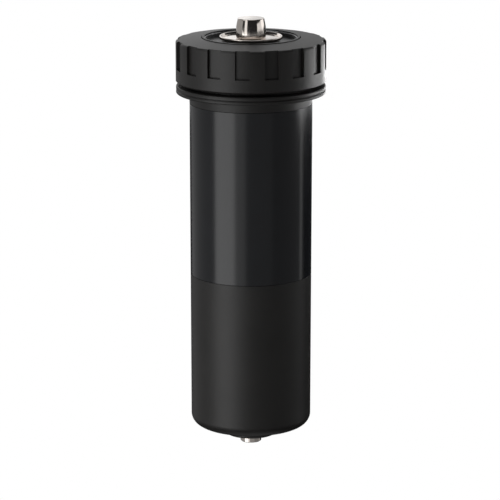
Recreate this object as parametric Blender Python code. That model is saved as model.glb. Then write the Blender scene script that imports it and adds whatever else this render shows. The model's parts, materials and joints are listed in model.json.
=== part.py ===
"""A magnetic system filter for a heating circuit, in metres, +Z up.

The origin is where the pipework holds the filter: midway between the end faces of its two rear ports. The
canister's axis stands in front of it, parallel to Z, and +Y points at the pipework.
"""

from math import cos, pi, radians, sin, sqrt

import bmesh
import bpy
from mathutils import Matrix

MM = 0.001
FULL_TURN = 2 * pi
TO_REAR = (-pi / 2, 0, 0)  # turns a shape's Z axis to point at the pipework

# ---- gaps between neighbours ----
SEAT_GAP = 0.3 * MM  # between pieces that rest on or fit in each other
THREAD_GAP = 0.5 * MM  # radial room of the collar's thread, and of the lid inside it
TURN_GAP = 0.6 * MM  # radial room round a piece that turns

# ---- canister ----
CANISTER_RADIUS = 52.0 * MM
CANISTER_HEIGHT = 325.0 * MM  # flat base to rim
CANISTER_WALL = 4.0 * MM
CANISTER_DRAFT = 0.5 * MM  # radius lost between the flange and the base
BASE_CORNER = 9.4 * MM
FLANGE_THICKNESS = 6.7 * MM
FLANGE_INSET = 0.2 * MM  # how far the flange stays inside the collar's outside
FLANGE_ROUND = 1.2 * MM
FLANGE_GROOVE = 0.7 * MM
FLANGE_FILLET = 2.0 * MM
RIM_BAND = 3.0 * MM  # plain band above the thread, as deep as the lift ring needs
DRAIN_BOSS_RADIUS = 23.0 * MM
DRAIN_BOSS_HEIGHT = 9.0 * MM
DRAIN_BOSS_CHAMFER = 1.5 * MM

# ---- label ----
LABEL_THICKNESS = 0.3 * MM
LABEL_HEIGHT = 147.5 * MM
LABEL_DROP = 8.7 * MM  # flange's underside to the label's top edge
LABEL_SWEEP = radians(300)

# ---- collar and its thread ----
THREAD_PITCH = 6.0 * MM
THREAD_HEIGHT = 2.5 * MM
THREAD_RUNOUT = 4.3 * MM  # end of the collar's thread to its lift ring
THREAD_FOOT = 3.0 * MM  # width of a thread at its root
THREAD_CREST = 1.4 * MM
THREAD_START = 4.0 * MM  # flange's top to the middle of the canister's thread
COLLAR_HEIGHT = 37.8 * MM
COLLAR_REVEAL = 2.7 * MM  # gap between collar and flange
COLLAR_WALL = 3.8 * MM
COLLAR_TOP = 6.4 * MM  # thickness of the top ring at its inner edge
COLLAR_CROWN = 2.2 * MM  # fall of the top face from its inner edge to its rounded outer edge
COLLAR_ROUND = 2.0 * MM
POCKET_COUNT = 16
POCKET_DEPTH = 2.5 * MM
POCKET_HEIGHT = 26.2 * MM
POCKET_SWEEP = radians(11)
POCKET_PHASE = radians(-6.5)  # of the first pocket, from the front

# ---- lid ----
LID_OVERHANG = 2.0 * MM  # lid flange beyond the canister's rim
LID_FLANGE = 6.0 * MM
LID_WALL = 2.1 * MM
LID_PROUD = 0.6 * MM  # lid wall above the collar's opening
LID_LIP = 0.7 * MM  # lid wall above the retaining ring's groove
LID_SPIGOT = 12.0 * MM
LID_SPIGOT_WALL = 5.0 * MM
LID_WEB = 4.3 * MM  # lid's underside below the canister's rim
LEDGE_RISE = 4.3 * MM  # ledge that carries the sleeve, above the canister's rim
LEDGE_WIDTH = 5.8 * MM
RING_THICKNESS = 1.2 * MM
RING_WIDTH = 1.8 * MM
RING_BITE = 0.8 * MM  # how far a snap ring sits in its groove
RING_SWEEP = radians(335)

# ---- magnet sleeve ----
SLEEVE_FLANGE_RADIUS = 39.0 * MM
SLEEVE_RIM = 1.4 * MM
SLEEVE_GROOVE_WALL = 1.2 * MM  # between the O-ring's groove and the dished top of the flange
SLEEVE_BORE = 17.0 * MM
SLEEVE_WALL = 2.0 * MM
SLEEVE_FLOOR = 3.0 * MM
SLEEVE_STANDOFF = 40.0 * MM  # sleeve's foot above the canister's floor
SLEEVE_HUB_WALL = 4.0 * MM
VENT_DRILLING = 1.2 * MM  # radius

# ---- core head ----
HEAD_RADIUS = 26.6 * MM
HEAD_HEIGHT = 3.4 * MM
HEAD_DISH = 2.1 * MM
HEAD_RIM = 1.2 * MM
HEAD_STEM_GAP = 0.4 * MM
HEAD_STEM_LENGTH = 32.6 * MM
UPPER_SEAL_DEPTH = 5.5 * MM  # head's underside to the middle of each seal
LOWER_SEAL_DEPTH = 21.0 * MM

# ---- magnets ----
MAGNET_COUNT = 8
MAGNET_GAP = 1.2 * MM  # radial room of the magnets in the sleeve
POLE_THICKNESS = 6.0 * MM
ROD_RADIUS = 4.0 * MM
ROD_SOCKET = 12.0 * MM
END_WASHER_THICKNESS = 1.5 * MM
END_NUT_HEIGHT = 6.0 * MM
END_NUT_ACROSS_FLATS = 13.0 * MM
CORE_END_GAP = 2.0 * MM

# ---- air vent ----
VENT_CAP_FOOT = 12.7 * MM  # radii of the cap
VENT_CAP_CREASE = 12.45 * MM
VENT_CAP_TOP = 11.25 * MM
VENT_CAP_SKIRT = 9.6 * MM
VENT_CAP_ROUND = 0.8 * MM
VENT_CAP_CROWN = 3.8 * MM  # metal above the washer
VENT_BODY_RADIUS = 8.0 * MM
VENT_BODY_SHANK = 5.0 * MM
VENT_BODY_DEPTH = 11.5 * MM  # of the shank in the head
VENT_BODY_HEIGHT = 10.8 * MM
VENT_PASSAGE = 1.5 * MM
VENT_PITCH = 1.5 * MM
VENT_THREAD_TURNS = 3
VENT_THREAD_HEIGHT = 0.6 * MM
VENT_WASHER_THICKNESS = 1.5 * MM
BLEED_RADIUS = 0.8 * MM
BLEED_HEIGHT = 4.0 * MM

# ---- drain: a G1/4 plug with a round flange and a hexagon socket ----
DRAIN_THREAD_RADIUS = 6.58 * MM
DRAIN_PITCH = 1.337 * MM
DRAIN_THREAD_TURNS = 4
DRAIN_THREAD_HEIGHT = 0.86 * MM
DRAIN_THREAD_FOOT = 1.07 * MM  # width of the thread at its root
DRAIN_THREAD_CREST = 0.27 * MM
DRAIN_THREAD_RUNOUT = 0.67 * MM  # end of the thread to the end of the shank
DRAIN_SHANK_LENGTH = 12.0 * MM
DRAIN_HEAD_RADIUS = 9.0 * MM
DRAIN_HEAD_HEIGHT = 5.6 * MM
DRAIN_HEAD_CHAMFER = 0.6 * MM
DRAIN_SOCKET_ACROSS_FLATS = 6.0 * MM
DRAIN_SOCKET_DEPTH = 6.0 * MM
DRAIN_SEAL_THICKNESS = 1.5 * MM
DRAIN_INSERT_WALL = 2.6 * MM
DRAIN_INSERT_GROOVE = 0.8 * MM

# ---- rear ports: G1 male spigots in moulded bosses ----
PORT_SPACING = 150.0 * MM
UPPER_PORT_DROP = 97.0 * MM  # canister's rim to the upper port's axis
PORT_THREAD_RADIUS = 16.6 * MM
PORT_THREAD_LENGTH = 16.0 * MM
PORT_THREAD_CHAMFER = 1.0 * MM
PORT_WALL = 4.6 * MM  # under the crests of the thread
PORT_GROOVE_WALL = 1.2 * MM  # left under the O-ring's groove
PORT_FLANGE_LIP = 1.7 * MM  # flange beyond the hole that it covers
PORT_FLANGE_THICKNESS = 3.5 * MM
PORT_BOSS_WALL = 3.7 * MM
PORT_BOSS_REACH = 12.0 * MM  # beyond the canister's wall
PORT_PAD = 1.5 * MM  # depth to which the boss's edge is sunk in the canister's wall

# ---- O-rings ----
SEAL_RADIUS = 1.5 * MM  # of the section
SEAL_GROOVE_DEPTH = 2 * SEAL_RADIUS + SEAT_GAP

# ---- facets ----
WIDE_FACETS = 40
LID_FACETS = 32
THREAD_FACETS = 32
ROUND_FACETS = 24
SMALL_FACETS = 16
SEAL_FACETS = 6

# ---- worked out: radii ----
CANISTER_BORE = CANISTER_RADIUS - CANISTER_WALL
LID_RADIUS = CANISTER_RADIUS + LID_OVERHANG
COLLAR_THREAD_CREST = LID_RADIUS + TURN_GAP
NECK_RADIUS = COLLAR_THREAD_CREST - THREAD_GAP
NECK_THREAD_CREST = NECK_RADIUS + THREAD_HEIGHT
COLLAR_BORE = NECK_THREAD_CREST + TURN_GAP
POCKET_RADIUS = COLLAR_BORE + COLLAR_WALL
COLLAR_RADIUS = POCKET_RADIUS + POCKET_DEPTH
FLANGE_RADIUS = COLLAR_RADIUS - FLANGE_INSET
LID_RECESS = SLEEVE_FLANGE_RADIUS + SEAT_GAP
LID_WALL_RADIUS = LID_RECESS + LID_WALL
COLLAR_OPENING = LID_WALL_RADIUS + TURN_GAP
LEDGE_OPENING = LID_RECESS - LEDGE_WIDTH
SLEEVE_RADIUS = SLEEVE_BORE + SLEEVE_WALL
STEM_RADIUS = SLEEVE_BORE - HEAD_STEM_GAP
MAGNET_RADIUS = SLEEVE_BORE - MAGNET_GAP
PORT_BORE_RADIUS = PORT_THREAD_RADIUS - PORT_WALL
PORT_SHANK_RADIUS = PORT_BORE_RADIUS + PORT_GROOVE_WALL + SEAL_GROOVE_DEPTH
PORT_SEAT_RADIUS = PORT_SHANK_RADIUS + SEAT_GAP
PORT_BOSS_RADIUS = PORT_SEAT_RADIUS + PORT_BOSS_WALL
PORT_FLANGE_RADIUS = PORT_SEAT_RADIUS + PORT_FLANGE_LIP
DRAIN_INSERT_BORE = DRAIN_THREAD_RADIUS + SEAT_GAP
DRAIN_INSERT_RADIUS = DRAIN_INSERT_BORE + DRAIN_INSERT_WALL
DRAIN_SEAT_RADIUS = DRAIN_INSERT_RADIUS + SEAT_GAP

# ---- worked out: heights ----
RIM_Z = UPPER_PORT_DROP + PORT_SPACING / 2
BASE_Z = RIM_Z - CANISTER_HEIGHT
FLOOR_Z = BASE_Z + CANISTER_WALL
LID_UNDER_Z = RIM_Z + SEAT_GAP
LID_FLANGE_Z = LID_UNDER_Z + LID_FLANGE
COLLAR_UNDER_Z = LID_FLANGE_Z + SEAT_GAP
COLLAR_TOP_Z = COLLAR_UNDER_Z + COLLAR_TOP
COLLAR_BOTTOM_Z = COLLAR_TOP_Z - COLLAR_HEIGHT
FLANGE_TOP_Z = COLLAR_BOTTOM_Z - COLLAR_REVEAL
FLANGE_BOTTOM_Z = FLANGE_TOP_Z - FLANGE_THICKNESS
LABEL_TOP_Z = FLANGE_BOTTOM_Z - LABEL_DROP
LABEL_BOTTOM_Z = LABEL_TOP_Z - LABEL_HEIGHT
DRAIN_BOSS_Z = BASE_Z - DRAIN_BOSS_HEIGHT
DRAIN_SEAL_Z = DRAIN_BOSS_Z - SEAT_GAP - DRAIN_SEAL_THICKNESS
DRAIN_HEAD_Z = DRAIN_SEAL_Z - SEAT_GAP
NECK_THREAD_Z = FLANGE_TOP_Z + THREAD_START
COLLAR_THREAD_Z = NECK_THREAD_Z + THREAD_PITCH / 2
LIFT_RING_Z = LID_UNDER_Z - SEAT_GAP - RING_THICKNESS
THREAD_TURNS = (LIFT_RING_Z - THREAD_RUNOUT - COLLAR_THREAD_Z) / THREAD_PITCH
LEDGE_Z = RIM_Z + LEDGE_RISE
LID_WALL_Z = COLLAR_TOP_Z + LID_PROUD
RING_Z = LID_WALL_Z - LID_LIP - SEAT_GAP - RING_THICKNESS
SLEEVE_RIM_Z = RING_Z - SEAT_GAP
SLEEVE_FLANGE_Z = LEDGE_Z + SEAT_GAP
SLEEVE_DISH_Z = SLEEVE_FLANGE_Z + SEAL_GROOVE_DEPTH + SLEEVE_GROOVE_WALL
SLEEVE_FOOT_Z = FLOOR_Z + SLEEVE_STANDOFF
HEAD_Z = SLEEVE_RIM_Z - SEAT_GAP
HEAD_FLOOR_Z = HEAD_Z + HEAD_HEIGHT - HEAD_DISH
STEM_END_Z = HEAD_Z - HEAD_STEM_LENGTH
UPPER_SEAL_Z = HEAD_Z - UPPER_SEAL_DEPTH
LOWER_SEAL_Z = HEAD_Z - LOWER_SEAL_DEPTH
VENT_DRILLING_Z = (UPPER_SEAL_Z + LOWER_SEAL_Z) / 2
CORE_END_Z = SLEEVE_FOOT_Z + SLEEVE_FLOOR + CORE_END_GAP
VENT_CAP_Z = HEAD_FLOOR_Z + TURN_GAP
VENT_BODY_Z = HEAD_FLOOR_Z + SEAT_GAP
VENT_SEAT_Z = VENT_BODY_Z + VENT_BODY_HEIGHT
VENT_WASHER_Z = VENT_SEAT_Z + SEAT_GAP
VENT_CAP_INNER_Z = VENT_WASHER_Z + VENT_WASHER_THICKNESS + SEAT_GAP
VENT_CAP_TOP_Z = VENT_CAP_INNER_Z + VENT_CAP_CROWN
AXIS_TO_PORT_FACE = (
    CANISTER_RADIUS + PORT_BOSS_REACH + SEAT_GAP + PORT_FLANGE_THICKNESS + PORT_THREAD_LENGTH
)


# ---- shapes ----
def arc(centre_r, centre_z, radius, start, end, steps=4):
    """Points of a round stretch of an outline, from one angle to another in degrees."""
    angles = [radians(start + (end - start) * i / steps) for i in range(steps + 1)]
    return [(centre_r + radius * cos(a), centre_z + radius * sin(a)) for a in angles]


def swept(outline, steps, sweep=FULL_TURN, start=0.0, rise=0.0):
    """A closed outline of (radius, height) points turned about Z, and lifted as it turns by rise.

    An outline that starts and ends on the axis is left open there. A part turn gets flat ends.
    """
    bm = bmesh.new()
    verts = [bm.verts.new((r * cos(start), r * sin(start), z)) for r, z in outline]
    pairs = list(zip(verts, verts[1:]))
    if outline[0][0] or outline[-1][0]:
        pairs.append((verts[-1], verts[0]))
    edges = [bm.edges.new(pair) for pair in pairs]
    full = sweep == FULL_TURN and rise == 0
    bmesh.ops.spin(
        bm, geom=verts + edges, cent=(0, 0, 0), axis=(0, 0, 1), dvec=(0, 0, rise / steps),
        angle=sweep, steps=steps, use_merge=full, use_duplicate=False,
    )
    if not full:
        ends = [edge for edge in bm.edges if edge.is_boundary]
        bmesh.ops.holes_fill(bm, edges=ends, sides=0)
    bmesh.ops.remove_doubles(bm, verts=bm.verts, dist=0.001 * MM)
    bmesh.ops.recalc_face_normals(bm, faces=bm.faces)
    return bm


def ring(inner, outer, bottom, top):
    """Outline of a plain ring."""
    return [(inner, bottom), (outer, bottom), (outer, top), (inner, top)]


def seal_outline(centre_r, centre_z=0.0):
    """Outline of an O-ring."""
    return arc(centre_r, centre_z, SEAL_RADIUS, 0, 360 - 360 / SEAL_FACETS, SEAL_FACETS - 1)


def groove(outside, centre_z, half_width):
    """Points of an O-ring's groove in an outer face, going up."""
    floor = outside - SEAL_GROOVE_DEPTH
    low, high = centre_z - half_width, centre_z + half_width
    return [(outside, low), (floor, low), (floor, high), (outside, high)]


def thread(root, height, foot, crest, pitch, turns, facets, bury, inward=False):
    """A right-hand thread of its own, its foot buried in the wall, its middle at Z 0 at the start.

    It starts half a facet round, so that none of its edges lies on an edge of the wall.
    """
    side = -1 if inward else 1
    outline = [
        (root - side * bury, -foot / 2),
        (root + side * height, -crest / 2),
        (root + side * height, crest / 2),
        (root - side * bury, foot / 2),
    ]
    steps = round(turns * facets)
    return swept(outline, steps, steps * FULL_TURN / facets, pi / facets, steps * pitch / facets)


def repeated(bm, matrices):
    """The shape, and a copy of it at each matrix, as separate bodies of one helper."""
    first = bm.verts[:] + bm.edges[:] + bm.faces[:]
    for matrix in matrices:
        copy = bmesh.ops.duplicate(bm, geom=first)["geom"]
        verts = [item for item in copy if isinstance(item, bmesh.types.BMVert)]
        bmesh.ops.transform(bm, matrix=matrix, verts=verts)
    return bm


def cylinder(radius, start, end, facets):
    """A rod along Z."""
    return swept([(0, start), (radius, start), (radius, end), (0, end)], facets)


# ---- objects ----
def finish(name, colour, roughness, metallic=0.0):
    material = bpy.data.materials.new(name)
    material.use_nodes = True
    shader = material.node_tree.nodes["Principled BSDF"]
    shader.inputs["Base Color"].default_value = (*colour, 1.0)
    shader.inputs["Roughness"].default_value = roughness
    shader.inputs["Metallic"].default_value = metallic
    material.diffuse_color = (*colour, 1.0)
    return material


def assembly(name, location, parent=None):
    """An empty on an axis, which carries the pieces that move together."""
    empty = bpy.data.objects.new(name, None)
    empty.location = location
    empty.parent = parent
    bpy.context.scene.collection.objects.link(empty)
    return empty


def mesh_of(name, bm):
    mesh = bpy.data.meshes.new(name)
    bm.to_mesh(mesh)
    bm.free()
    mesh.shade_smooth()
    mesh.set_sharp_from_angle(angle=radians(30))
    return mesh


def piece(name, shape, material, parent, location=(0, 0, 0), rotation=(0, 0, 0)):
    """One object from a bmesh, or from a mesh that another object shares."""
    mesh = shape if isinstance(shape, bpy.types.Mesh) else mesh_of(name, shape)
    if material and not mesh.materials:
        mesh.materials.append(material)
    obj = bpy.data.objects.new(name, mesh)
    obj.parent = parent
    obj.location = location
    obj.rotation_euler = rotation
    bpy.context.scene.collection.objects.link(obj)
    return obj


def shaped(obj, operation, tools):
    """Adds one exact Boolean for each helper shape, and hides the helpers."""
    for tool in tools:
        tool.hide_render = True
        tool.display_type = "WIRE"
        boolean = obj.modifiers.new(tool.name, "BOOLEAN")
        boolean.operation = operation
        boolean.solver = "EXACT"
        boolean.object = tool


def cut(obj, *tools):
    shaped(obj, "DIFFERENCE", tools)


def join(obj, *tools):
    shaped(obj, "UNION", tools)


# ---- canister group ----
def canister_radius(z):
    """Outside of the canister's tapering wall."""
    share = (FLANGE_BOTTOM_Z - z) / (FLANGE_BOTTOM_Z - BASE_Z)
    return CANISTER_RADIUS - CANISTER_DRAFT * share


def canister_outline():
    """Down the outside from the rim, round the drain boss, and up the inside."""
    step = NECK_RADIUS - CANISTER_RADIUS
    band_z = RIM_Z - RIM_BAND
    groove_z = (FLANGE_TOP_Z + FLANGE_BOTTOM_Z - FLANGE_GROOVE) / 2
    recess = LABEL_THICKNESS + SEAT_GAP
    corner_z = BASE_Z + BASE_CORNER
    corner_r = canister_radius(corner_z) - BASE_CORNER
    inner_corner = BASE_CORNER - CANISTER_WALL
    outline = [
        (CANISTER_RADIUS, RIM_Z),
        (CANISTER_RADIUS, band_z),
        (NECK_RADIUS, band_z - step),
        (NECK_RADIUS, FLANGE_TOP_Z),
    ]
    outline += arc(FLANGE_RADIUS - FLANGE_ROUND, FLANGE_TOP_Z - FLANGE_ROUND, FLANGE_ROUND, 90, 0, 2)
    outline += [
        (FLANGE_RADIUS, groove_z + FLANGE_GROOVE),
        (FLANGE_RADIUS - FLANGE_GROOVE, groove_z),
        (FLANGE_RADIUS, groove_z - FLANGE_GROOVE),
        (FLANGE_RADIUS, FLANGE_BOTTOM_Z + FLANGE_GROOVE),
        (FLANGE_RADIUS - FLANGE_GROOVE, FLANGE_BOTTOM_Z),
    ]
    outline += arc(
        CANISTER_RADIUS + FLANGE_FILLET, FLANGE_BOTTOM_Z - FLANGE_FILLET, FLANGE_FILLET, 90, 180, 2
    )
    for z, depth in (
        (LABEL_TOP_Z + SEAT_GAP, 0),
        (LABEL_TOP_Z + SEAT_GAP, recess),
        (LABEL_BOTTOM_Z - SEAT_GAP, recess),
        (LABEL_BOTTOM_Z - SEAT_GAP, 0),
    ):
        outline.append((canister_radius(z) - depth, z))
    outline += arc(corner_r, corner_z, BASE_CORNER, 0, -90, 5)
    outline += [
        (DRAIN_BOSS_RADIUS + DRAIN_BOSS_CHAMFER, BASE_Z),
        (DRAIN_BOSS_RADIUS, BASE_Z - DRAIN_BOSS_CHAMFER),
        (DRAIN_BOSS_RADIUS, DRAIN_BOSS_Z + DRAIN_BOSS_CHAMFER),
        (DRAIN_BOSS_RADIUS - DRAIN_BOSS_CHAMFER, DRAIN_BOSS_Z),
        (DRAIN_SEAT_RADIUS, DRAIN_BOSS_Z),
        (DRAIN_SEAT_RADIUS, FLOOR_Z),
    ]
    outline += arc(corner_r, corner_z, inner_corner, -90, 0, 2)
    outline.append((CANISTER_BORE, FLANGE_BOTTOM_Z))
    outline.append((CANISTER_BORE, RIM_Z))
    return outline


def collar_thread_shape(root, height, inward):
    return thread(
        root, height, THREAD_FOOT, THREAD_CREST, THREAD_PITCH, THREAD_TURNS, THREAD_FACETS,
        THREAD_GAP, inward,
    )


def ports():
    """The (name, height) of the two rear ports."""
    return (("upper", PORT_SPACING / 2), ("lower", -PORT_SPACING / 2))


def make_canister(frame, plastic):
    canister = piece("canister", swept(canister_outline(), WIDE_FACETS), plastic, frame)
    neck_thread = collar_thread_shape(NECK_RADIUS, THREAD_HEIGHT, inward=False)
    join(canister, piece("neck_thread", neck_thread, None, frame, (0, 0, NECK_THREAD_Z)))
    boss_start = sqrt(CANISTER_RADIUS**2 - PORT_BOSS_RADIUS**2) - PORT_PAD
    boss_end = CANISTER_RADIUS + PORT_BOSS_REACH
    bore_start = boss_start - PORT_BOSS_RADIUS
    bore_end = boss_end + PORT_BOSS_REACH
    # A shape that is turned to the rear has its Y axis pointing down.
    to_lower = [Matrix.Translation((0, PORT_SPACING, 0))]
    boss = repeated(cylinder(PORT_BOSS_RADIUS, boss_start, boss_end, ROUND_FACETS), to_lower)
    bore = repeated(cylinder(PORT_SEAT_RADIUS, bore_start, bore_end, ROUND_FACETS), to_lower)
    upper = (0, 0, PORT_SPACING / 2)
    join(canister, piece("port_bosses", boss, None, frame, upper, TO_REAR))
    cut(canister, piece("port_bores", bore, None, frame, upper, TO_REAR))


def make_label(frame, film):
    """The wrap leaves the back bare, where the ports are."""
    outline = [
        (canister_radius(LABEL_TOP_Z), LABEL_TOP_Z),
        (canister_radius(LABEL_TOP_Z) - LABEL_THICKNESS, LABEL_TOP_Z),
        (canister_radius(LABEL_BOTTOM_Z) - LABEL_THICKNESS, LABEL_BOTTOM_Z),
        (canister_radius(LABEL_BOTTOM_Z), LABEL_BOTTOM_Z),
    ]
    start = -pi / 2 - LABEL_SWEEP / 2
    steps = round(WIDE_FACETS * LABEL_SWEEP / FULL_TURN)
    piece("label_wrap", swept(outline, steps, LABEL_SWEEP, start), film, frame)


def make_ports(frame, plate, rubber):
    """Each spigot stands on Z, from its inner end, and is then turned to the rear."""
    inner_end = CANISTER_BORE
    flange = CANISTER_RADIUS + PORT_BOSS_REACH + SEAT_GAP
    shoulder = flange + PORT_FLANGE_THICKNESS
    face = AXIS_TO_PORT_FACE
    chamfer = PORT_THREAD_CHAMFER
    seal_at = (CANISTER_RADIUS + flange) / 2
    outline = [(PORT_BORE_RADIUS, inner_end), (PORT_SHANK_RADIUS, inner_end)]
    outline += groove(PORT_SHANK_RADIUS, seal_at, SEAL_RADIUS + SEAT_GAP)
    outline += [
        (PORT_SHANK_RADIUS, flange),
        (PORT_FLANGE_RADIUS, flange),
        (PORT_FLANGE_RADIUS, shoulder),
        (PORT_THREAD_RADIUS, shoulder),
        (PORT_THREAD_RADIUS, face - chamfer),
        (PORT_THREAD_RADIUS - chamfer, face),
        (PORT_BORE_RADIUS, face),
    ]
    seal_radius = PORT_SHANK_RADIUS - SEAL_RADIUS
    spigot = mesh_of("port_spigot", swept(outline, SMALL_FACETS))
    seal = mesh_of("port_seal", swept(seal_outline(seal_radius, seal_at), SMALL_FACETS))
    for name, z in ports():
        piece("port_spigot_" + name, spigot, plate, frame, (0, 0, z), TO_REAR)
        piece("port_seal_" + name, seal, rubber, frame, (0, 0, z), TO_REAR)


def make_drain_insert(frame, brass):
    top = FLOOR_Z - SEAT_GAP
    outside, notch = DRAIN_INSERT_RADIUS, DRAIN_INSERT_RADIUS - DRAIN_INSERT_GROOVE
    third = (top - DRAIN_BOSS_Z) / 3
    outline = [
        (DRAIN_INSERT_BORE, DRAIN_BOSS_Z),
        (outside, DRAIN_BOSS_Z),
        (outside, DRAIN_BOSS_Z + third),
        (notch, DRAIN_BOSS_Z + third),
        (notch, top - third),
        (outside, top - third),
        (outside, top),
        (DRAIN_INSERT_BORE, top),
    ]
    piece("drain_insert", swept(outline, SMALL_FACETS), brass, frame)


# ---- lid group ----
def lid_outline():
    """Down the spigot's outside from the flange, up inside it, and round the ledge and the wall."""
    spigot_r = CANISTER_BORE - SEAT_GAP
    spigot_z = LID_UNDER_Z - LID_SPIGOT
    groove_top = LIFT_RING_Z - SEAT_GAP
    groove_low = groove_top - 2 * (SEAL_RADIUS + SEAT_GAP)
    web_z = RIM_Z - LID_WEB
    ring_groove = LID_RECESS + RING_BITE + SEAT_GAP
    return [
        (LID_RADIUS, LID_FLANGE_Z),
        (LID_RADIUS, LID_UNDER_Z),
        (spigot_r, LID_UNDER_Z),
        (spigot_r, groove_top),
        (spigot_r - SEAL_GROOVE_DEPTH, groove_top),
        (spigot_r - SEAL_GROOVE_DEPTH, groove_low),
        (spigot_r, groove_low),
        (spigot_r, spigot_z),
        (spigot_r - LID_SPIGOT_WALL, spigot_z),
        (spigot_r - LID_SPIGOT_WALL, web_z),
        (LEDGE_OPENING, web_z),
        (LEDGE_OPENING, LEDGE_Z),
        (LID_RECESS, LEDGE_Z),
        (LID_RECESS, RING_Z - SEAT_GAP),
        (ring_groove, RING_Z - SEAT_GAP),
        (ring_groove, LID_WALL_Z - LID_LIP),
        (LID_RECESS, LID_WALL_Z - LID_LIP),
        (LID_RECESS, LID_WALL_Z),
        (LID_WALL_RADIUS, LID_WALL_Z),
        (LID_WALL_RADIUS, LID_FLANGE_Z),
    ]


def make_lid(frame, plastic, rubber, plate):
    piece("lid", swept(lid_outline(), LID_FACETS), plastic, frame)
    seal_z = LIFT_RING_Z - SEAT_GAP - SEAL_RADIUS - SEAT_GAP
    seal_radius = CANISTER_BORE - SEAT_GAP - SEAL_RADIUS
    piece("lid_seal", swept(seal_outline(seal_radius), LID_FACETS), rubber, frame, (0, 0, seal_z))
    outer = LID_RECESS + RING_BITE
    outline = ring(outer - RING_WIDTH, outer, 0, RING_THICKNESS)
    start = pi / 2 + (FULL_TURN - RING_SWEEP) / 2
    snap_ring = swept(outline, LID_FACETS, RING_SWEEP, start)
    piece("retaining_ring", snap_ring, plate, frame, (0, 0, RING_Z))


def make_sleeve(frame, plastic, rubber):
    hub = SLEEVE_BORE + SLEEVE_HUB_WALL
    under_z = SLEEVE_FLANGE_Z
    seal_r = (LEDGE_OPENING + SLEEVE_FLANGE_RADIUS) / 2
    half = SEAL_RADIUS + SEAT_GAP
    foot = SLEEVE_WALL + SLEEVE_FLOOR
    outline = [(0, SLEEVE_FOOT_Z)]
    outline += arc(SLEEVE_RADIUS - foot, SLEEVE_FOOT_Z + foot, foot, -90, 0, 3)
    outline += [
        (SLEEVE_RADIUS, under_z - SLEEVE_HUB_WALL),
        (SLEEVE_RADIUS + SLEEVE_HUB_WALL, under_z),
        (seal_r - half, under_z),
        (seal_r - half, under_z + SEAL_GROOVE_DEPTH),
        (seal_r + half, under_z + SEAL_GROOVE_DEPTH),
        (seal_r + half, under_z),
        (SLEEVE_FLANGE_RADIUS, under_z),
        (SLEEVE_FLANGE_RADIUS, SLEEVE_RIM_Z),
        (SLEEVE_FLANGE_RADIUS - SLEEVE_RIM, SLEEVE_RIM_Z),
        (SLEEVE_FLANGE_RADIUS - SLEEVE_RIM, SLEEVE_DISH_Z),
        (hub, SLEEVE_DISH_Z),
        (hub, HEAD_Z - SEAT_GAP),
        (SLEEVE_BORE, HEAD_Z - SEAT_GAP),
        (SLEEVE_BORE, SLEEVE_FOOT_Z + SLEEVE_FLOOR),
        (0, SLEEVE_FOOT_Z + SLEEVE_FLOOR),
    ]
    sleeve = piece("magnet_sleeve", swept(outline, ROUND_FACETS), plastic, frame)
    drilling = cylinder(VENT_DRILLING, SLEEVE_BORE / 2, 2 * SLEEVE_RADIUS, SEAL_FACETS)
    cut(sleeve, piece("sleeve_vent", drilling, None, frame, (0, 0, VENT_DRILLING_Z), TO_REAR))
    seal_z = under_z + SEAL_GROOVE_DEPTH - SEAT_GAP - SEAL_RADIUS
    piece("sleeve_seal", swept(seal_outline(seal_r), ROUND_FACETS), rubber, frame, (0, 0, seal_z))


# ---- collar group ----
def collar_outline():
    """Down the outside from the opening's edge, and up the bore."""
    edge_z = COLLAR_TOP_Z - COLLAR_CROWN
    ring_groove = COLLAR_BORE + RING_BITE
    outline = [(COLLAR_OPENING, COLLAR_TOP_Z)]
    outline += arc(COLLAR_RADIUS - COLLAR_ROUND, edge_z - COLLAR_ROUND, COLLAR_ROUND, 90, 0, 3)
    outline += [
        (COLLAR_RADIUS, COLLAR_BOTTOM_Z + FLANGE_ROUND),
        (COLLAR_RADIUS - FLANGE_ROUND, COLLAR_BOTTOM_Z),
        (COLLAR_BORE, COLLAR_BOTTOM_Z),
        (COLLAR_BORE, LIFT_RING_Z - SEAT_GAP),
        (ring_groove, LIFT_RING_Z - SEAT_GAP),
        (ring_groove, LID_UNDER_Z),
        (COLLAR_BORE, LID_UNDER_Z),
        (COLLAR_BORE, COLLAR_UNDER_Z),
        (COLLAR_OPENING, COLLAR_UNDER_Z),
    ]
    return outline


def make_collar(frame, plastic, spring_steel):
    collar = piece("collar", swept(collar_outline(), WIDE_FACETS), plastic, frame)
    height = COLLAR_BORE - COLLAR_THREAD_CREST
    collar_thread = collar_thread_shape(COLLAR_BORE, height, inward=True)
    join(collar, piece("collar_thread", collar_thread, None, frame, (0, 0, COLLAR_THREAD_Z)))
    low = COLLAR_TOP_Z - POCKET_HEIGHT
    outline = ring(POCKET_RADIUS, COLLAR_RADIUS + POCKET_DEPTH, low, COLLAR_TOP_Z + POCKET_DEPTH)
    start = -pi / 2 + POCKET_PHASE - POCKET_SWEEP / 2
    turns = [Matrix.Rotation(i * FULL_TURN / POCKET_COUNT, 4, "Z") for i in range(1, POCKET_COUNT)]
    pockets = repeated(swept(outline, 3, POCKET_SWEEP, start), turns)
    cut(collar, piece("pockets", pockets, None, frame))
    outer = COLLAR_BORE + RING_BITE - SEAT_GAP
    inner = CANISTER_RADIUS + TURN_GAP
    start = pi / 2 + (FULL_TURN - RING_SWEEP) / 2
    snap_ring = swept(ring(inner, outer, 0, RING_THICKNESS), LID_FACETS, RING_SWEEP, start)
    piece("lift_ring", snap_ring, spring_steel, frame, (0, 0, LIFT_RING_Z))


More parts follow.
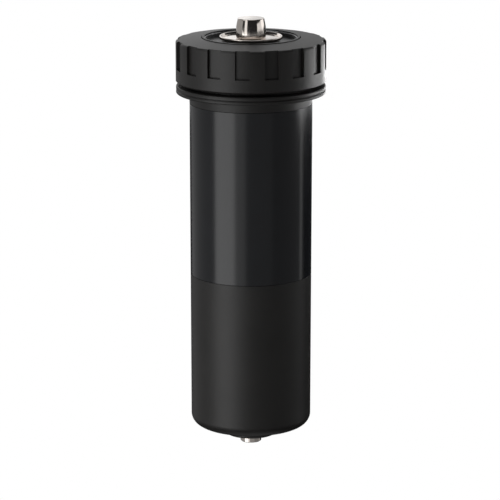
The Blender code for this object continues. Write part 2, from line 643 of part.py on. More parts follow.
# ---- core group ----
def head_outline():
    """From the bottom of the vent passage, up and over the dish, and down the stem to the rod's socket."""
    passage_end = VENT_DRILLING_Z - VENT_PASSAGE
    shank_z = VENT_BODY_Z - VENT_BODY_DEPTH - SEAT_GAP
    shank_r = VENT_BODY_SHANK + SEAT_GAP
    top_z = HEAD_Z + HEAD_HEIGHT
    half = SEAL_RADIUS + SEAT_GAP
    outline = [
        (0, passage_end),
        (VENT_PASSAGE, passage_end),
        (VENT_PASSAGE, shank_z),
        (shank_r, shank_z),
        (shank_r, HEAD_FLOOR_Z),
        (VENT_CAP_FOOT + HEAD_RIM, HEAD_FLOOR_Z),
        (HEAD_RADIUS - 2 * HEAD_RIM, HEAD_FLOOR_Z + HEAD_RIM / 3),
        (HEAD_RADIUS - HEAD_RIM, top_z),
        (HEAD_RADIUS - HEAD_RIM / 3, top_z),
        (HEAD_RADIUS, top_z - HEAD_RIM / 3),
        (HEAD_RADIUS, HEAD_Z + HEAD_RIM),
        (HEAD_RADIUS - HEAD_RIM, HEAD_Z),
        (STEM_RADIUS, HEAD_Z),
    ]
    for seal_z in (UPPER_SEAL_Z, LOWER_SEAL_Z):
        outline += reversed(groove(STEM_RADIUS, seal_z, half))
    outline += [
        (STEM_RADIUS, STEM_END_Z),
        (ROD_RADIUS + SEAT_GAP, STEM_END_Z),
        (ROD_RADIUS + SEAT_GAP, STEM_END_Z + ROD_SOCKET),
        (0, STEM_END_Z + ROD_SOCKET),
    ]
    return outline


def make_head(frame, plate, rubber):
    head = piece("core_head", swept(head_outline(), ROUND_FACETS), plate, frame)
    reach = 2 * STEM_RADIUS
    drilling = cylinder(VENT_PASSAGE, 0, reach, SEAL_FACETS)
    cut(head, piece("head_vent", drilling, None, frame, (0, 0, VENT_DRILLING_Z), TO_REAR))
    seal_radius = STEM_RADIUS - SEAL_RADIUS
    seal = mesh_of("head_seal", swept(seal_outline(seal_radius), SMALL_FACETS))
    piece("head_seal_upper", seal, rubber, frame, (0, 0, UPPER_SEAL_Z))
    piece("head_seal_lower", seal, rubber, frame, (0, 0, LOWER_SEAL_Z))


def make_vent_body(frame, plate):
    outline = [
        (VENT_PASSAGE, VENT_BODY_Z - VENT_BODY_DEPTH),
        (VENT_BODY_SHANK, VENT_BODY_Z - VENT_BODY_DEPTH),
        (VENT_BODY_SHANK, VENT_BODY_Z),
        (VENT_BODY_RADIUS, VENT_BODY_Z),
        (VENT_BODY_RADIUS, VENT_SEAT_Z),
        (VENT_PASSAGE, VENT_SEAT_Z),
    ]
    body = piece("vent_body", swept(outline, SMALL_FACETS), plate, frame)
    vent_thread = thread(
        VENT_BODY_RADIUS, VENT_THREAD_HEIGHT, VENT_PITCH / 2, VENT_PITCH / 4, VENT_PITCH,
        VENT_THREAD_TURNS, SMALL_FACETS, SEAT_GAP,
    )
    thread_z = (VENT_BODY_Z + VENT_SEAT_Z - VENT_THREAD_TURNS * VENT_PITCH) / 2
    join(body, piece("vent_thread", vent_thread, None, frame, (0, 0, thread_z)))


def make_magnets(frame, magnet, steel):
    """Poles and magnets by turns under the stem, pulled up by the rod, its washer and its nut."""
    bore = ROD_RADIUS + SEAT_GAP
    nut_top = CORE_END_Z + END_NUT_HEIGHT
    washer_z = nut_top + SEAT_GAP
    stack_low = washer_z + END_WASHER_THICKNESS + SEAT_GAP
    room = STEM_END_Z - stack_low - (MAGNET_COUNT + 1) * POLE_THICKNESS
    length = room / MAGNET_COUNT - 2 * SEAT_GAP - SEAT_GAP / MAGNET_COUNT
    pitch = POLE_THICKNESS + length + 2 * SEAT_GAP
    pole_mesh = mesh_of("pole", swept(ring(bore, MAGNET_RADIUS, 0, POLE_THICKNESS), SMALL_FACETS))
    magnet_mesh = mesh_of("magnet", swept(ring(bore, MAGNET_RADIUS, 0, length), SMALL_FACETS))
    top = STEM_END_Z - SEAT_GAP
    for i in range(MAGNET_COUNT + 1):
        pole_z = top - i * pitch - POLE_THICKNESS
        piece(f"pole_{i + 1}", pole_mesh, steel, frame, (0, 0, pole_z))
        if i < MAGNET_COUNT:
            magnet_z = pole_z - SEAT_GAP - length
            piece(f"magnet_{i + 1}", magnet_mesh, magnet, frame, (0, 0, magnet_z))
    rod_top = STEM_END_Z + ROD_SOCKET - SEAT_GAP
    piece("core_rod", cylinder(ROD_RADIUS, CORE_END_Z, rod_top, SMALL_FACETS), steel, frame)
    washer = swept(ring(bore, MAGNET_RADIUS, 0, END_WASHER_THICKNESS), SMALL_FACETS)
    piece("end_washer", washer, steel, frame, (0, 0, washer_z))
    across_corners = END_NUT_ACROSS_FLATS / cos(pi / 6)
    nut = piece(
        "end_nut", cylinder(across_corners / 2, 0, END_NUT_HEIGHT, 6), steel, frame,
        (0, 0, CORE_END_Z),
    )
    hole = cylinder(bore, -END_NUT_HEIGHT, 2 * END_NUT_HEIGHT, SMALL_FACETS)
    cut(nut, piece("nut_hole", hole, None, frame, (0, 0, CORE_END_Z)))


# ---- vent group ----
def make_vent(washer_frame, cap_frame, rubber, plate):
    washer_radius = VENT_BODY_RADIUS + SEAT_GAP
    washer = cylinder(washer_radius, 0, VENT_WASHER_THICKNESS, SMALL_FACETS)
    piece("vent_washer", washer, rubber, washer_frame, (0, 0, VENT_WASHER_Z))
    bore = VENT_BODY_RADIUS + VENT_THREAD_HEIGHT + SEAT_GAP
    crease_z = VENT_CAP_Z + VENT_CAP_SKIRT
    outline = [
        (0, VENT_CAP_INNER_Z),
        (bore, VENT_CAP_INNER_Z),
        (bore, VENT_CAP_Z),
        (VENT_CAP_FOOT, VENT_CAP_Z),
        (VENT_CAP_CREASE, crease_z),
    ]
    outline += arc(
        VENT_CAP_TOP - VENT_CAP_ROUND, VENT_CAP_TOP_Z - VENT_CAP_ROUND, VENT_CAP_ROUND, 10, 90, 3
    )
    outline.append((0, VENT_CAP_TOP_Z))
    cap = piece("vent_cap", swept(outline, ROUND_FACETS), plate, cap_frame)
    bleed = cylinder(BLEED_RADIUS, 0, 2 * VENT_CAP_FOOT, SEAL_FACETS)
    bleed_z = VENT_CAP_Z + BLEED_HEIGHT
    cut(cap, piece("bleed_hole", bleed, None, cap_frame, (0, 0, bleed_z), TO_REAR))


# ---- drain group ----
def make_drain(seal_frame, plug_frame, fibre, plate):
    seal = swept(ring(DRAIN_INSERT_BORE, DRAIN_HEAD_RADIUS, 0, DRAIN_SEAL_THICKNESS), SMALL_FACETS)
    piece("drain_seal", seal, fibre, seal_frame, (0, 0, DRAIN_SEAL_Z))
    core_radius = DRAIN_THREAD_RADIUS - DRAIN_THREAD_HEIGHT
    bottom = DRAIN_HEAD_Z - DRAIN_HEAD_HEIGHT
    chamfer = DRAIN_HEAD_CHAMFER
    top = DRAIN_HEAD_Z + DRAIN_SHANK_LENGTH
    outline = [
        (0, top),
        (core_radius, top),
        (core_radius, DRAIN_HEAD_Z),
        (DRAIN_HEAD_RADIUS, DRAIN_HEAD_Z),
        (DRAIN_HEAD_RADIUS, bottom + chamfer),
        (DRAIN_HEAD_RADIUS - chamfer, bottom),
        (0, bottom),
    ]
    plug = piece("drain_plug", swept(outline, SMALL_FACETS), plate, plug_frame)
    drain_thread = thread(
        core_radius, DRAIN_THREAD_HEIGHT, DRAIN_THREAD_FOOT, DRAIN_THREAD_CREST, DRAIN_PITCH,
        DRAIN_THREAD_TURNS, SMALL_FACETS, SEAT_GAP,
    )
    thread_z = top - DRAIN_THREAD_RUNOUT - DRAIN_THREAD_TURNS * DRAIN_PITCH
    join(plug, piece("drain_thread", drain_thread, None, plug_frame, (0, 0, thread_z)))
    across_corners = DRAIN_SOCKET_ACROSS_FLATS / cos(pi / 6)
    socket = cylinder(across_corners / 2, -DRAIN_SOCKET_DEPTH, DRAIN_SOCKET_DEPTH, 6)
    cut(plug, piece("key_socket", socket, None, plug_frame, (0, 0, bottom)))


def main():
    for obj in list(bpy.data.objects):
        bpy.data.objects.remove(obj)

    black_plastic = finish("black_plastic", (0.020, 0.019, 0.018), 0.45)
    label_film = finish("label_film", (0.010, 0.011, 0.014), 0.15)
    sleeve_plastic = finish("sleeve_plastic", (0.015, 0.015, 0.015), 0.40)
    nickel = finish("nickel_plate", (0.78, 0.74, 0.69), 0.12, 1.0)
    steel = finish("steel", (0.55, 0.55, 0.56), 0.30, 1.0)
    magnet = finish("magnet_plate", (0.70, 0.70, 0.72), 0.20, 1.0)
    brass = finish("brass", (0.72, 0.53, 0.26), 0.30, 1.0)
    rubber = finish("black_rubber", (0.014, 0.014, 0.014), 0.70)
    fibre = finish("red_fibre", (0.30, 0.05, 0.03), 0.75)

    canister = assembly("canister_frame", (0, -AXIS_TO_PORT_FACE, 0))
    lid = assembly("lid_frame", (0, 0, 0), canister)
    collar = assembly("collar_frame", (0, 0, 0), lid)
    core = assembly("core_frame", (0, 0, 0), lid)
    vent_seal = assembly("vent_seal_frame", (0, 0, 0), core)
    vent_cap = assembly("vent_cap_frame", (0, 0, 0), vent_seal)
    drain_seal = assembly("drain_seal_frame", (0, 0, 0), canister)
    drain_plug = assembly("drain_plug_frame", (0, 0, 0), drain_seal)

    make_canister(canister, black_plastic)
    make_label(canister, label_film)
    make_ports(canister, nickel, rubber)
    make_drain_insert(canister, brass)
    make_lid(lid, black_plastic, rubber, steel)
    make_sleeve(lid, sleeve_plastic, rubber)
    make_collar(collar, black_plastic, steel)
    make_head(core, nickel, rubber)
    make_vent_body(core, nickel)
    make_magnets(core, magnet, steel)
    make_vent(vent_seal, vent_cap, rubber, nickel)
    make_drain(drain_seal, drain_plug, fibre, nickel)


main()
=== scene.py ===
import json
from math import atan2, cos, pi, radians, sin, sqrt, tan

import bmesh
import bpy
from bpy.props import FloatProperty, FloatVectorProperty, IntProperty, PointerProperty
from mathutils import Matrix, Vector


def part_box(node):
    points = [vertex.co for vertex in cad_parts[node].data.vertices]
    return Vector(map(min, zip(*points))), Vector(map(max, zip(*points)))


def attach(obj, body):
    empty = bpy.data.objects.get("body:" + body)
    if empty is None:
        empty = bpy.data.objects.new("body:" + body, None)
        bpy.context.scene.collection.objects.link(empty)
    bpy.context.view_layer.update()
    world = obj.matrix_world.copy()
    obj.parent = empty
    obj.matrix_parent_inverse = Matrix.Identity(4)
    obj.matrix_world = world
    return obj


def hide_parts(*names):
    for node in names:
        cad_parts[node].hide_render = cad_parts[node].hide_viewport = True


bl_info = {
    "name": "Magnetic System Filter",
    "version": (1, 0, 0),
    "blender": (4, 5, 0),
    "location": "3D View > Sidebar > Filter",
    "description": "Builds the finished look of a canister magnetic filter round its packed frame",
    "category": "Object",
}

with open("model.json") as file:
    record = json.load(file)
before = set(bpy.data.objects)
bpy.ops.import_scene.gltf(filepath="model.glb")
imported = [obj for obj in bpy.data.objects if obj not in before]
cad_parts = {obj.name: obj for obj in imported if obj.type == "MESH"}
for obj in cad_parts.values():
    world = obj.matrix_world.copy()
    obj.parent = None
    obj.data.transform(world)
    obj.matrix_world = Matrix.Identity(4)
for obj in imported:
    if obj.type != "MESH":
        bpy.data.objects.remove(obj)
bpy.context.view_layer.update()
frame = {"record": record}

MM = 0.001
FULL_TURN = 2 * pi
GAP = 0.3 * MM  # room between neighbours
MERGE = 0.004 * MM  # points nearer than this are one
SEAL_DEPTH = 3.3 * MM  # of an O-ring's groove
SEAL_HALF = 1.8 * MM  # half the width of that groove
THREAD_FOOT, THREAD_CREST = 3.0 * MM, 1.4 * MM  # of the collar's thread and the canister's
THREAD_TURNS = 2.5


# ---- what the frame says ----
def radius(node):
    """Largest radius of a turned node, from its width."""
    low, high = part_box(node)
    return (high.x - low.x) / 2


def foot(node):
    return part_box(node)[0].z


def head(node):
    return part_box(node)[1].z


def middle(node):
    """Middle of a node's box."""
    low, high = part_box(node)
    return (low + high) / 2


AXIS = Vector((middle("collar").x, middle("collar").y, 0))
PORT_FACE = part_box("port_spigot_upper")[1].y
BODY_OF = {node: body for body, nodes in frame["record"]["behaviour"]["bodies"].items() for node in nodes}
SLOT_OF = {part["node"]: part["material_slot"] for part in frame["record"]["subparts"]}


# ---- settings ----
def length(label, millimetres, description):
    """A size in metres, with its default in millimetres."""
    return FloatProperty(
        name=label, description=description, default=millimetres * MM, min=0.0, unit="LENGTH", precision=5
    )


def angle(label, degrees, description):
    return FloatProperty(name=label, description=description, default=radians(degrees), subtype="ANGLE")


def colour(label, value, description):
    return FloatVectorProperty(
        name=label, description=description, default=value, min=0.0, max=1.0, size=3, subtype="COLOR"
    )


def share(label, value, description):
    return FloatProperty(
        name=label, description=description, default=value, min=0.0, max=1.0, subtype="FACTOR"
    )


class CanisterSizes(bpy.types.PropertyGroup):
    wall: length("Wall", 4.0, "Thickness of the canister's wall and floor")
    radius: length("Radius", 52.0, "Outside of the wall under the flange")
    draft: length("Draft", 0.5, "Radius lost between the flange and the base")
    base_corner: length("Base corner", 9.4, "Radius of the round corner at the base")
    reveal: length("Reveal", 2.7, "Gap between the collar and the flange")
    flange: length("Flange", 6.7, "Thickness of the flange")
    flange_round: length("Flange round", 1.2, "Radius of the flange's upper edge")
    groove: length("Flange groove", 0.7, "Depth of the groove round the flange")
    fillet: length("Flange fillet", 2.0, "Radius under the flange")
    rim_band: length("Rim band", 3.0, "Plain band above the thread")
    neck: length("Neck", 54.1, "Radius at the root of the thread")
    thread_height: length("Thread height", 2.5, "Height of the collar's thread")
    thread_pitch: length("Thread pitch", 6.0, "Pitch of the collar's thread")
    thread_start: length("Thread start", 4.0, "Flange to the middle of the first turn")
    label_bed: length("Label bed", 0.6, "Depth of the recess that the label lies in")
    boss: length("Drain boss", 23.0, "Radius of the boss that holds the drain")
    boss_height: length("Drain boss height", 9.0, "Boss below the base")
    boss_chamfer: length("Drain boss chamfer", 1.5, "Chamfer round the boss")


class CollarSizes(bpy.types.PropertyGroup):
    wall: length("Wall", 3.8, "Wall behind a grip pocket")
    opening: length("Opening", 42.0, "Radius of the hole in the top")
    top: length("Top", 6.4, "Thickness of the top at the opening")
    crown: length("Crown", 2.2, "Fall of the top from the opening to the edge")
    edge: length("Outer edge", 2.0, "Radius of the outer upper edge")
    pockets: IntProperty(name="Pockets", description="Grip pockets round the collar", default=16, min=4)
    pocket_depth: length("Pocket depth", 2.5, "Depth of a grip pocket")
    pocket_height: length("Pocket height", 26.2, "Height of a grip pocket, from the top")
    pocket_sweep: angle("Pocket width", 11, "Angle that a pocket takes")
    pocket_phase: angle("Pocket phase", -6.5, "Turn of the first pocket from the front")
    softening: length("Edge softening", 0.42, "Roundness of the moulded edges")


class LidSizes(bpy.types.PropertyGroup):
    wall: length("Wall", 2.1, "Thickness of the upstanding wall")
    flange: length("Flange", 6.0, "Thickness of the flange that the collar presses")
    web: length("Web", 4.3, "Underside below the canister's rim")
    ledge: length("Ledge", 5.8, "Width of the ledge that carries the sleeve")
    spigot_wall: length("Spigot wall", 5.0, "Thickness of the spigot in the canister")
    lip: length("Lip", 0.7, "Wall above the retaining ring")
    ring_bite: length("Ring bite", 0.8, "How far a snap ring sits in its groove")
    ring_width: length("Ring width", 1.8, "Radial width of the retaining ring")


class SleeveSizes(bpy.types.PropertyGroup):
    bore: length("Bore", 17.0, "Radius of the bore that takes the magnets")
    wall: length("Wall", 2.0, "Thickness of the tube")
    floor: length("Floor", 3.0, "Thickness of the closed end")
    dish: length("Dish", 2.0, "Depth of the dished top")
    rim: length("Rim", 1.4, "Width of the raised rim")
    hub_wall: length("Hub wall", 4.0, "Wall of the hub round the bore")
    flange: length("Flange", 6.5, "Rim to the underside of the flange")
    drilling: length("Drilling", 1.2, "Radius of the vent drilling")
    drilling_height: length("Drilling height", 169.55, "Height of the vent drilling")


class CoreSizes(bpy.types.PropertyGroup):
    head_height: length("Head height", 3.4, "Underside of the head to its rim")
    dish: length("Dish", 2.1, "Depth of the dished top")
    rim: length("Rim", 1.2, "Width of the rim's slope")
    stem_gap: length("Stem gap", 0.4, "Room of the stem in the sleeve")
    rod_socket: length("Rod socket", 12.0, "Depth of the rod in the stem")
    rod_room: length("Rod room", 0.3, "Gap round the rod")
    shank: length("Vent shank", 5.0, "Radius of the vent's shank in the head")
    chamfer: length("Chamfer", 0.5, "Chamfer on the edges of magnets and poles")
    nut_flats: length("Nut across flats", 13.0, "Width of the end nut")


class VentSizes(bpy.types.PropertyGroup):
    crease: length("Crease radius", 12.45, "Radius of the cap at its crease")
    crease_height: length("Crease height", 9.6, "Foot of the cap to its crease")
    top: length("Top radius", 11.25, "Radius of the cap at its top")
    edge: length("Top edge", 0.8, "Radius of the cap's upper edge")
    body: length("Body", 8.0, "Radius at the root of the vent's thread")
    passage: length("Passage", 1.5, "Radius of the air passage")
    crown: length("Crown", 3.8, "Metal above the washer")
    thread_height: length("Thread height", 0.6, "Height of the vent's thread")
    thread_pitch: length("Thread pitch", 1.5, "Pitch of the vent's thread")
    bleed: length("Bleed hole", 0.8, "Radius of the bleed hole")
    bleed_height: length("Bleed height", 4.0, "Foot of the cap to the bleed hole")


class DrainSizes(bpy.types.PropertyGroup):
    thread_radius: length("Thread radius", 6.58, "Outside of the plug's thread")
    thread_height: length("Thread height", 0.86, "Height of the plug's thread")
    thread_pitch: length("Thread pitch", 1.337, "Pitch of the plug's thread")
    head_height: length("Head height", 5.6, "Thickness of the plug's head")
    chamfer: length("Chamfer", 0.6, "Chamfer round the plug's head")
    key_flats: length("Key across flats", 6.0, "Width of the hexagon socket")
    key_depth: length("Key depth", 6.0, "Depth of the hexagon socket")
    groove: length("Insert groove", 0.8, "Depth of the insert's holding groove")


class PortSizes(bpy.types.PropertyGroup):
    bore: length("Bore", 12.0, "Radius of the port's bore")
    shank: length("Shank", 16.5, "Radius of the spigot in the canister's boss")
    thread_radius: length("Thread radius", 16.6, "Outside of the port's thread")
    thread_length: length("Thread length", 16.0, "Length of the port's thread")
    thread_height: length("Thread height", 1.48, "Height of the port's thread")
    thread_pitch: length("Thread pitch", 2.309, "Pitch of the port's thread")
    flange: length("Flange", 3.5, "Thickness of the spigot's flange")
    boss_wall: length("Boss wall", 3.7, "Wall of the boss round the spigot")
    boss_reach: length("Boss reach", 12.0, "Boss beyond the canister's wall")


class Finishes(bpy.types.PropertyGroup):
    nylon: colour("Moulded nylon", (0.0105, 0.0098, 0.0092), "Canister, lid and collar")
    nylon_roughness: share("Nylon roughness", 0.44, "Satin of the moulded nylon")
    film: colour("Label film", (0.0045, 0.0052, 0.0070), "Glossy film of the label")
    film_roughness: share("Film roughness", 0.20, "Gloss of the label film")
    sleeve: colour("Sleeve", (0.010, 0.010, 0.010), "Moulding that holds the magnets apart from the water")
    nickel: colour("Nickel", (0.76, 0.70, 0.65), "Polished plate of the head, vent, plug and ports")
    nickel_roughness: share("Nickel roughness", 0.10, "Polish of the nickel plate")
    steel: colour("Steel", (0.56, 0.56, 0.57), "Poles, rod, rings and nut")
    magnet: colour("Magnet plate", (0.68, 0.68, 0.70), "Plated magnets")
    brass: colour("Brass", (0.72, 0.53, 0.26), "Insert of the drain")
    rubber: colour("Rubber", (0.016, 0.016, 0.016), "O-rings and the vent's washer")
    fibre: colour("Fibre", (0.30, 0.050, 0.030), "Seal under the drain plug")


class StageSettings(bpy.types.PropertyGroup):
    camera_distance: length("Camera distance", 2389.0, "Camera to the filter's axis")
    camera_height: angle("Camera elevation", 13.618, "Angle of the camera above the horizon")
    focal: FloatProperty(name="Focal length", description="Of a sensor 36 mm wide", default=200.7, min=1.0)
    aim_left: length("Aim offset", 0.8, "How far to the left of the axis the camera looks")
    aim_rise: length("Aim rise", 0.43, "How far above the frame's middle the camera looks")
    drop: length("Floor drop", 450.0, "Floor below the filter")
    room: share("Room light", 0.02, "Brightness of the room round the lamps")


# ---- shapes ----
def arc(centre_r, centre_z, bend, start, end, steps=6):
    """Points of a round stretch of an outline, from one angle to another in degrees."""
    angles = [radians(start + (end - start) * i / steps) for i in range(steps + 1)]
    return [(centre_r + bend * cos(a), centre_z + bend * sin(a)) for a in angles]


def ring(inner, outer, bottom, top):
    """Outline of a plain ring, or of a disc or rod where the inner radius is 0."""
    return [(inner, bottom), (outer, bottom), (outer, top), (inner, top)]


def lathe(outline, steps, sweep=FULL_TURN, start=0.0, rise=0.0, closed=True):
    """A bmesh of an outline of (radius, height) points, spun about Z."""
    bm = bmesh.new()
    verts = [bm.verts.new((r * cos(start), r * sin(start), z)) for r, z in outline]
    pairs = list(zip(verts, verts[1:]))
    if closed and (outline[0][0] or outline[-1][0]):
        pairs.append((verts[-1], verts[0]))
    edges = [bm.edges.new(pair) for pair in pairs]
    full = sweep == FULL_TURN and rise == 0
    bmesh.ops.spin(
        bm, geom=verts + edges, cent=(0, 0, 0), axis=(0, 0, 1), dvec=(0, 0, rise / steps),
        angle=sweep, steps=steps, use_merge=full,
    )
    if closed and not full:
        bmesh.ops.holes_fill(bm, edges=[edge for edge in bm.edges if edge.is_boundary], sides=0)
    tidy(bm)
    return bm


def tidy(bm):
    """Merges doubles and turns the faces outwards."""
    bmesh.ops.remove_doubles(bm, verts=bm.verts, dist=MERGE)
    bmesh.ops.recalc_face_normals(bm, faces=bm.faces)


def soften(bm, width, segments=2, angle=28):
    """Rounds the edges that are sharper than the angle in degrees."""
    edges = [
        edge for edge in bm.edges
        if edge.is_manifold and edge.calc_face_angle(0) > radians(angle)
    ]
    bmesh.ops.bevel(
        bm, geom=edges, offset=width, offset_type="OFFSET", segments=segments, profile=0.5,
        affect="EDGES", material=-1, clamp_overlap=True,
    )
    return bm


def turned(outline, softening, steps=96):
    """A full turning with its edges softened."""
    return soften(lathe(outline, steps), softening)


def add(bm, other):
    """Puts another shape into this one as a body of its own."""
    mesh = bpy.data.meshes.new("part")
    other.to_mesh(mesh)
    other.free()
    bm.from_mesh(mesh)
    bpy.data.meshes.remove(mesh)
    return bm


def moved(bm, matrix):
    bmesh.ops.transform(bm, matrix=matrix, verts=bm.verts)
    return bm


def screw_thread(root, height, foot_width, crest_width, pitch, turns, bottom, steps=72, inward=False):
    """A right-hand thread that rises from the wall at both ends."""
    side = -1 if inward else 1
    bury = 0.2 * MM
    outline = [
        (root - side * bury, -foot_width / 2),
        (root + side * height, -crest_width / 2),
        (root + side * height, crest_width / 2),
        (root - side * bury, foot_width / 2),
    ]
    bm = lathe(outline, round(turns * steps), turns * FULL_TURN, rise=turns * pitch)
    run_in = 0.2
    for vert in bm.verts:
        along = vert.co.z / pitch
        full = max(0.0, min(1.0, along / run_in, (turns - along) / run_in))
        reach = vert.co.xy.length
        base = root - side * bury
        vert.co.xy *= (base + (reach - base) * full) / reach
    tidy(bm)
    return moved(bm, Matrix.Translation((0, 0, bottom)))


def mesh_from(bm, name):
    mesh = bpy.data.meshes.new(name)
    bm.to_mesh(mesh)
    bm.free()
    return mesh


def combined(bm, other, operation):
    """The exact union or difference of two closed shapes, with the seam welded."""
    shapes = [bpy.data.objects.new(name, mesh_from(b, name)) for name, b in (("kept", bm), ("tool", other))]
    for obj in shapes:
        bpy.context.scene.collection.objects.link(obj)
    boolean = shapes[0].modifiers.new("combine", "BOOLEAN")
    boolean.operation = operation
    boolean.solver = "EXACT"
    boolean.object = shapes[1]
    evaluated = shapes[0].evaluated_get(bpy.context.evaluated_depsgraph_get())
    made = bmesh.new()
    made.from_mesh(evaluated.to_mesh())
    evaluated.to_mesh_clear()
    bmesh.ops.remove_doubles(made, verts=made.verts, dist=MERGE)
    for obj in shapes:
        mesh = obj.data
        bpy.data.objects.remove(obj)
        bpy.data.meshes.remove(mesh)
    if not made.faces:
        raise RuntimeError(f"the {operation.lower()} left nothing")
    return made


def points(geometry):
    """The vertices among what an operator gives back."""
    return [item for item in geometry if isinstance(item, bmesh.types.BMVert)]


def to_rear(height):
    """Turns a shape's Z axis to point back from the filter's axis at a height."""
    return Matrix.Translation((0, 0, height)) @ Matrix.Rotation(-pi / 2, 4, "X")


def seal_groove(wall, start, end):
    """Points of an O-ring's groove in a wall, as an outline meets them."""
    return [(wall, start), (wall - SEAL_DEPTH, start), (wall - SEAL_DEPTH, end), (wall, end)]


def drilled(bm, hole, start, end, height, steps=24):
    """Cuts a hole that runs back from the filter's axis at a height."""
    return combined(bm, moved(lathe(ring(0, hole, start, end), steps), to_rear(height)), "DIFFERENCE")


def show(bm, name, nodes, crease=38):
    """Makes a finished piece from a shape on the Z axis, in place of its CAD nodes."""
    nodes = [nodes] if isinstance(nodes, str) else nodes
    moved(bm, Matrix.Translation(AXIS))
    mesh = mesh_from(bm, name)
    mesh.shade_smooth()
    mesh.set_sharp_from_angle(angle=radians(crease))
    mesh.materials.append(material_for(SLOT_OF[nodes[0]]))
    obj = bpy.data.objects.new(name, mesh)
    bpy.context.scene.collection.objects.link(obj)
    even = obj.modifiers.new("even_shading", "WEIGHTED_NORMAL")
    even.weight = 100
    even.keep_sharp = True
    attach(obj, BODY_OF[nodes[0]])
    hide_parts(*nodes)
    return obj


# ---- finishes ----
class Shader:
    """Node helper for one material, with coordinates centred on the filter's axis."""

    def __init__(self, name, base, roughness, metallic=0.0):
        self.material = bpy.data.materials.new(name)
        self.material.use_nodes = True
        self.tree = self.material.node_tree
        self.surface = self.tree.nodes["Principled BSDF"]
        self.base = tuple(base)
        self.surface.inputs["Base Color"].default_value = (*base, 1.0)
        self.surface.inputs["Roughness"].default_value = roughness
        self.surface.inputs["Metallic"].default_value = metallic
        self.material.diffuse_color = (*base, 1.0)
        place = self.node("ShaderNodeMapping")
        place.inputs["Location"].default_value = -AXIS
        self.link(self.node("ShaderNodeTexCoord").outputs["Object"], place.inputs["Vector"])
        self.place = place.outputs["Vector"]

    def node(self, kind, **settings):
        made = self.tree.nodes.new(kind)
        for name, value in settings.items():
            setattr(made, name, value)
        return made

    def link(self, output, socket):
        self.tree.links.new(output, socket)

    def noise(self, scale, detail=3.0, rough=0.55, vector=None):
        """A noise pattern, with its scale in waves to the metre."""
        made = self.node("ShaderNodeTexNoise")
        made.inputs["Scale"].default_value = scale
        made.inputs["Detail"].default_value = detail
        made.inputs["Roughness"].default_value = rough
        self.link(vector or self.place, made.inputs["Vector"])
        return made.outputs["Fac"]

    def turning(self, scale):
        """Fine rings round the axis, as a lathe tool leaves them."""
        flat = self.node("ShaderNodeVectorMath", operation="MULTIPLY")
        flat.inputs[1].default_value = (1, 1, 0)
        self.link(self.place, flat.inputs[0])
        reach = self.node("ShaderNodeVectorMath", operation="LENGTH")
        self.link(flat.outputs["Vector"], reach.inputs[0])
        height = self.node("ShaderNodeSeparateXYZ")
        self.link(self.place, height.inputs[0])
        joined = self.node("ShaderNodeCombineXYZ")
        self.link(reach.outputs["Value"], joined.inputs["X"])
        self.link(height.outputs["Z"], joined.inputs["Z"])
        return self.noise(scale, 2.0, 0.6, joined.outputs["Vector"])

    def spread(self, pattern, low, high, socket):
        """Sends a pattern to a socket as values from low to high."""
        made = self.node("ShaderNodeMapRange")
        made.inputs["From Min"].default_value = 0.3
        made.inputs["From Max"].default_value = 0.7
        made.inputs["To Min"].default_value = low
        made.inputs["To Max"].default_value = high
        self.link(pattern, made.inputs["Value"])
        self.link(made.outputs["Result"], socket)

    def shade(self, factor):
        """The base colour, lighter or darker."""
        return tuple(min(1.0, part * factor) for part in self.base)

    def tint(self, pattern, other):
        """Varies the base colour between its own value and another by a pattern."""
        made = self.node("ShaderNodeMix", data_type="RGBA")
        made.inputs["A"].default_value = (*self.base, 1.0)
        made.inputs["B"].default_value = (*other, 1.0)
        self.spread(pattern, 0.0, 1.0, made.inputs["Factor"])
        self.link(made.outputs["Result"], self.surface.inputs["Base Color"])

    def relief(self, *layers):
        """Bumps of (pattern, height) laid one on the other."""
        normal = None
        for pattern, height in layers:
            made = self.node("ShaderNodeBump")
            made.inputs["Strength"].default_value = 1.0
            made.inputs["Distance"].default_value = height
            self.link(pattern, made.inputs["Height"])
            if normal:
                self.link(normal, made.inputs["Normal"])
            normal = made.outputs["Normal"]
        self.link(normal, self.surface.inputs["Normal"])

    def finished(self, stain, other, wear, low, high, *relief):
        """Tints by one pattern, sets the roughness by another, lays on the relief, and gives the material."""
        self.tint(stain, other)
        self.spread(wear, low, high, self.surface.inputs["Roughness"])
        self.relief(*relief)
        return self.material


def moulded_nylon(finishes):
    """Satin glass-filled nylon: a fine spark-eroded grain, with faint flow marks."""
    satin = finishes.nylon_roughness
    made = Shader("moulded_nylon", finishes.nylon, satin)
    grain, flow = made.noise(2600.0, 3.0, 0.6), made.noise(34.0, 4.0, 0.5)
    return made.finished(flow, made.shade(1.45), grain, satin - 0.05, satin + 0.07,
                         (flow, 0.05 * MM), (grain, 0.012 * MM))


def label_film(finishes):
    """Glossy film, with the slight waviness of a glued skin."""
    gloss = finishes.film_roughness
    made = Shader("glossy_film", finishes.film, gloss)
    wave, dust = made.noise(55.0, 2.0, 0.4), made.noise(900.0, 3.0, 0.6)
    return made.finished(wave, made.shade(1.3), dust, gloss - 0.03, gloss + 0.05,
                         (wave, 0.02 * MM), (dust, 0.001 * MM))


def sleeve_moulding(finishes):
    made = Shader("sleeve_moulding", finishes.sleeve, 0.34)
    grain, flow = made.noise(1800.0, 2.0, 0.5), made.noise(45.0, 3.0, 0.5)
    return made.finished(flow, made.shade(1.6), grain, 0.30, 0.40, (grain, 0.006 * MM))


def polished_nickel(finishes):
    """Plated and polished over turned brass, so faint tool rings are left."""
    polish = finishes.nickel_roughness
    made = Shader("polished_nickel", finishes.nickel, polish, 1.0)
    rings, haze = made.turning(1500.0), made.noise(120.0, 4.0, 0.55)
    return made.finished(haze, made.shade(0.90), haze, polish - 0.03, polish + 0.05, (rings, 0.004 * MM))


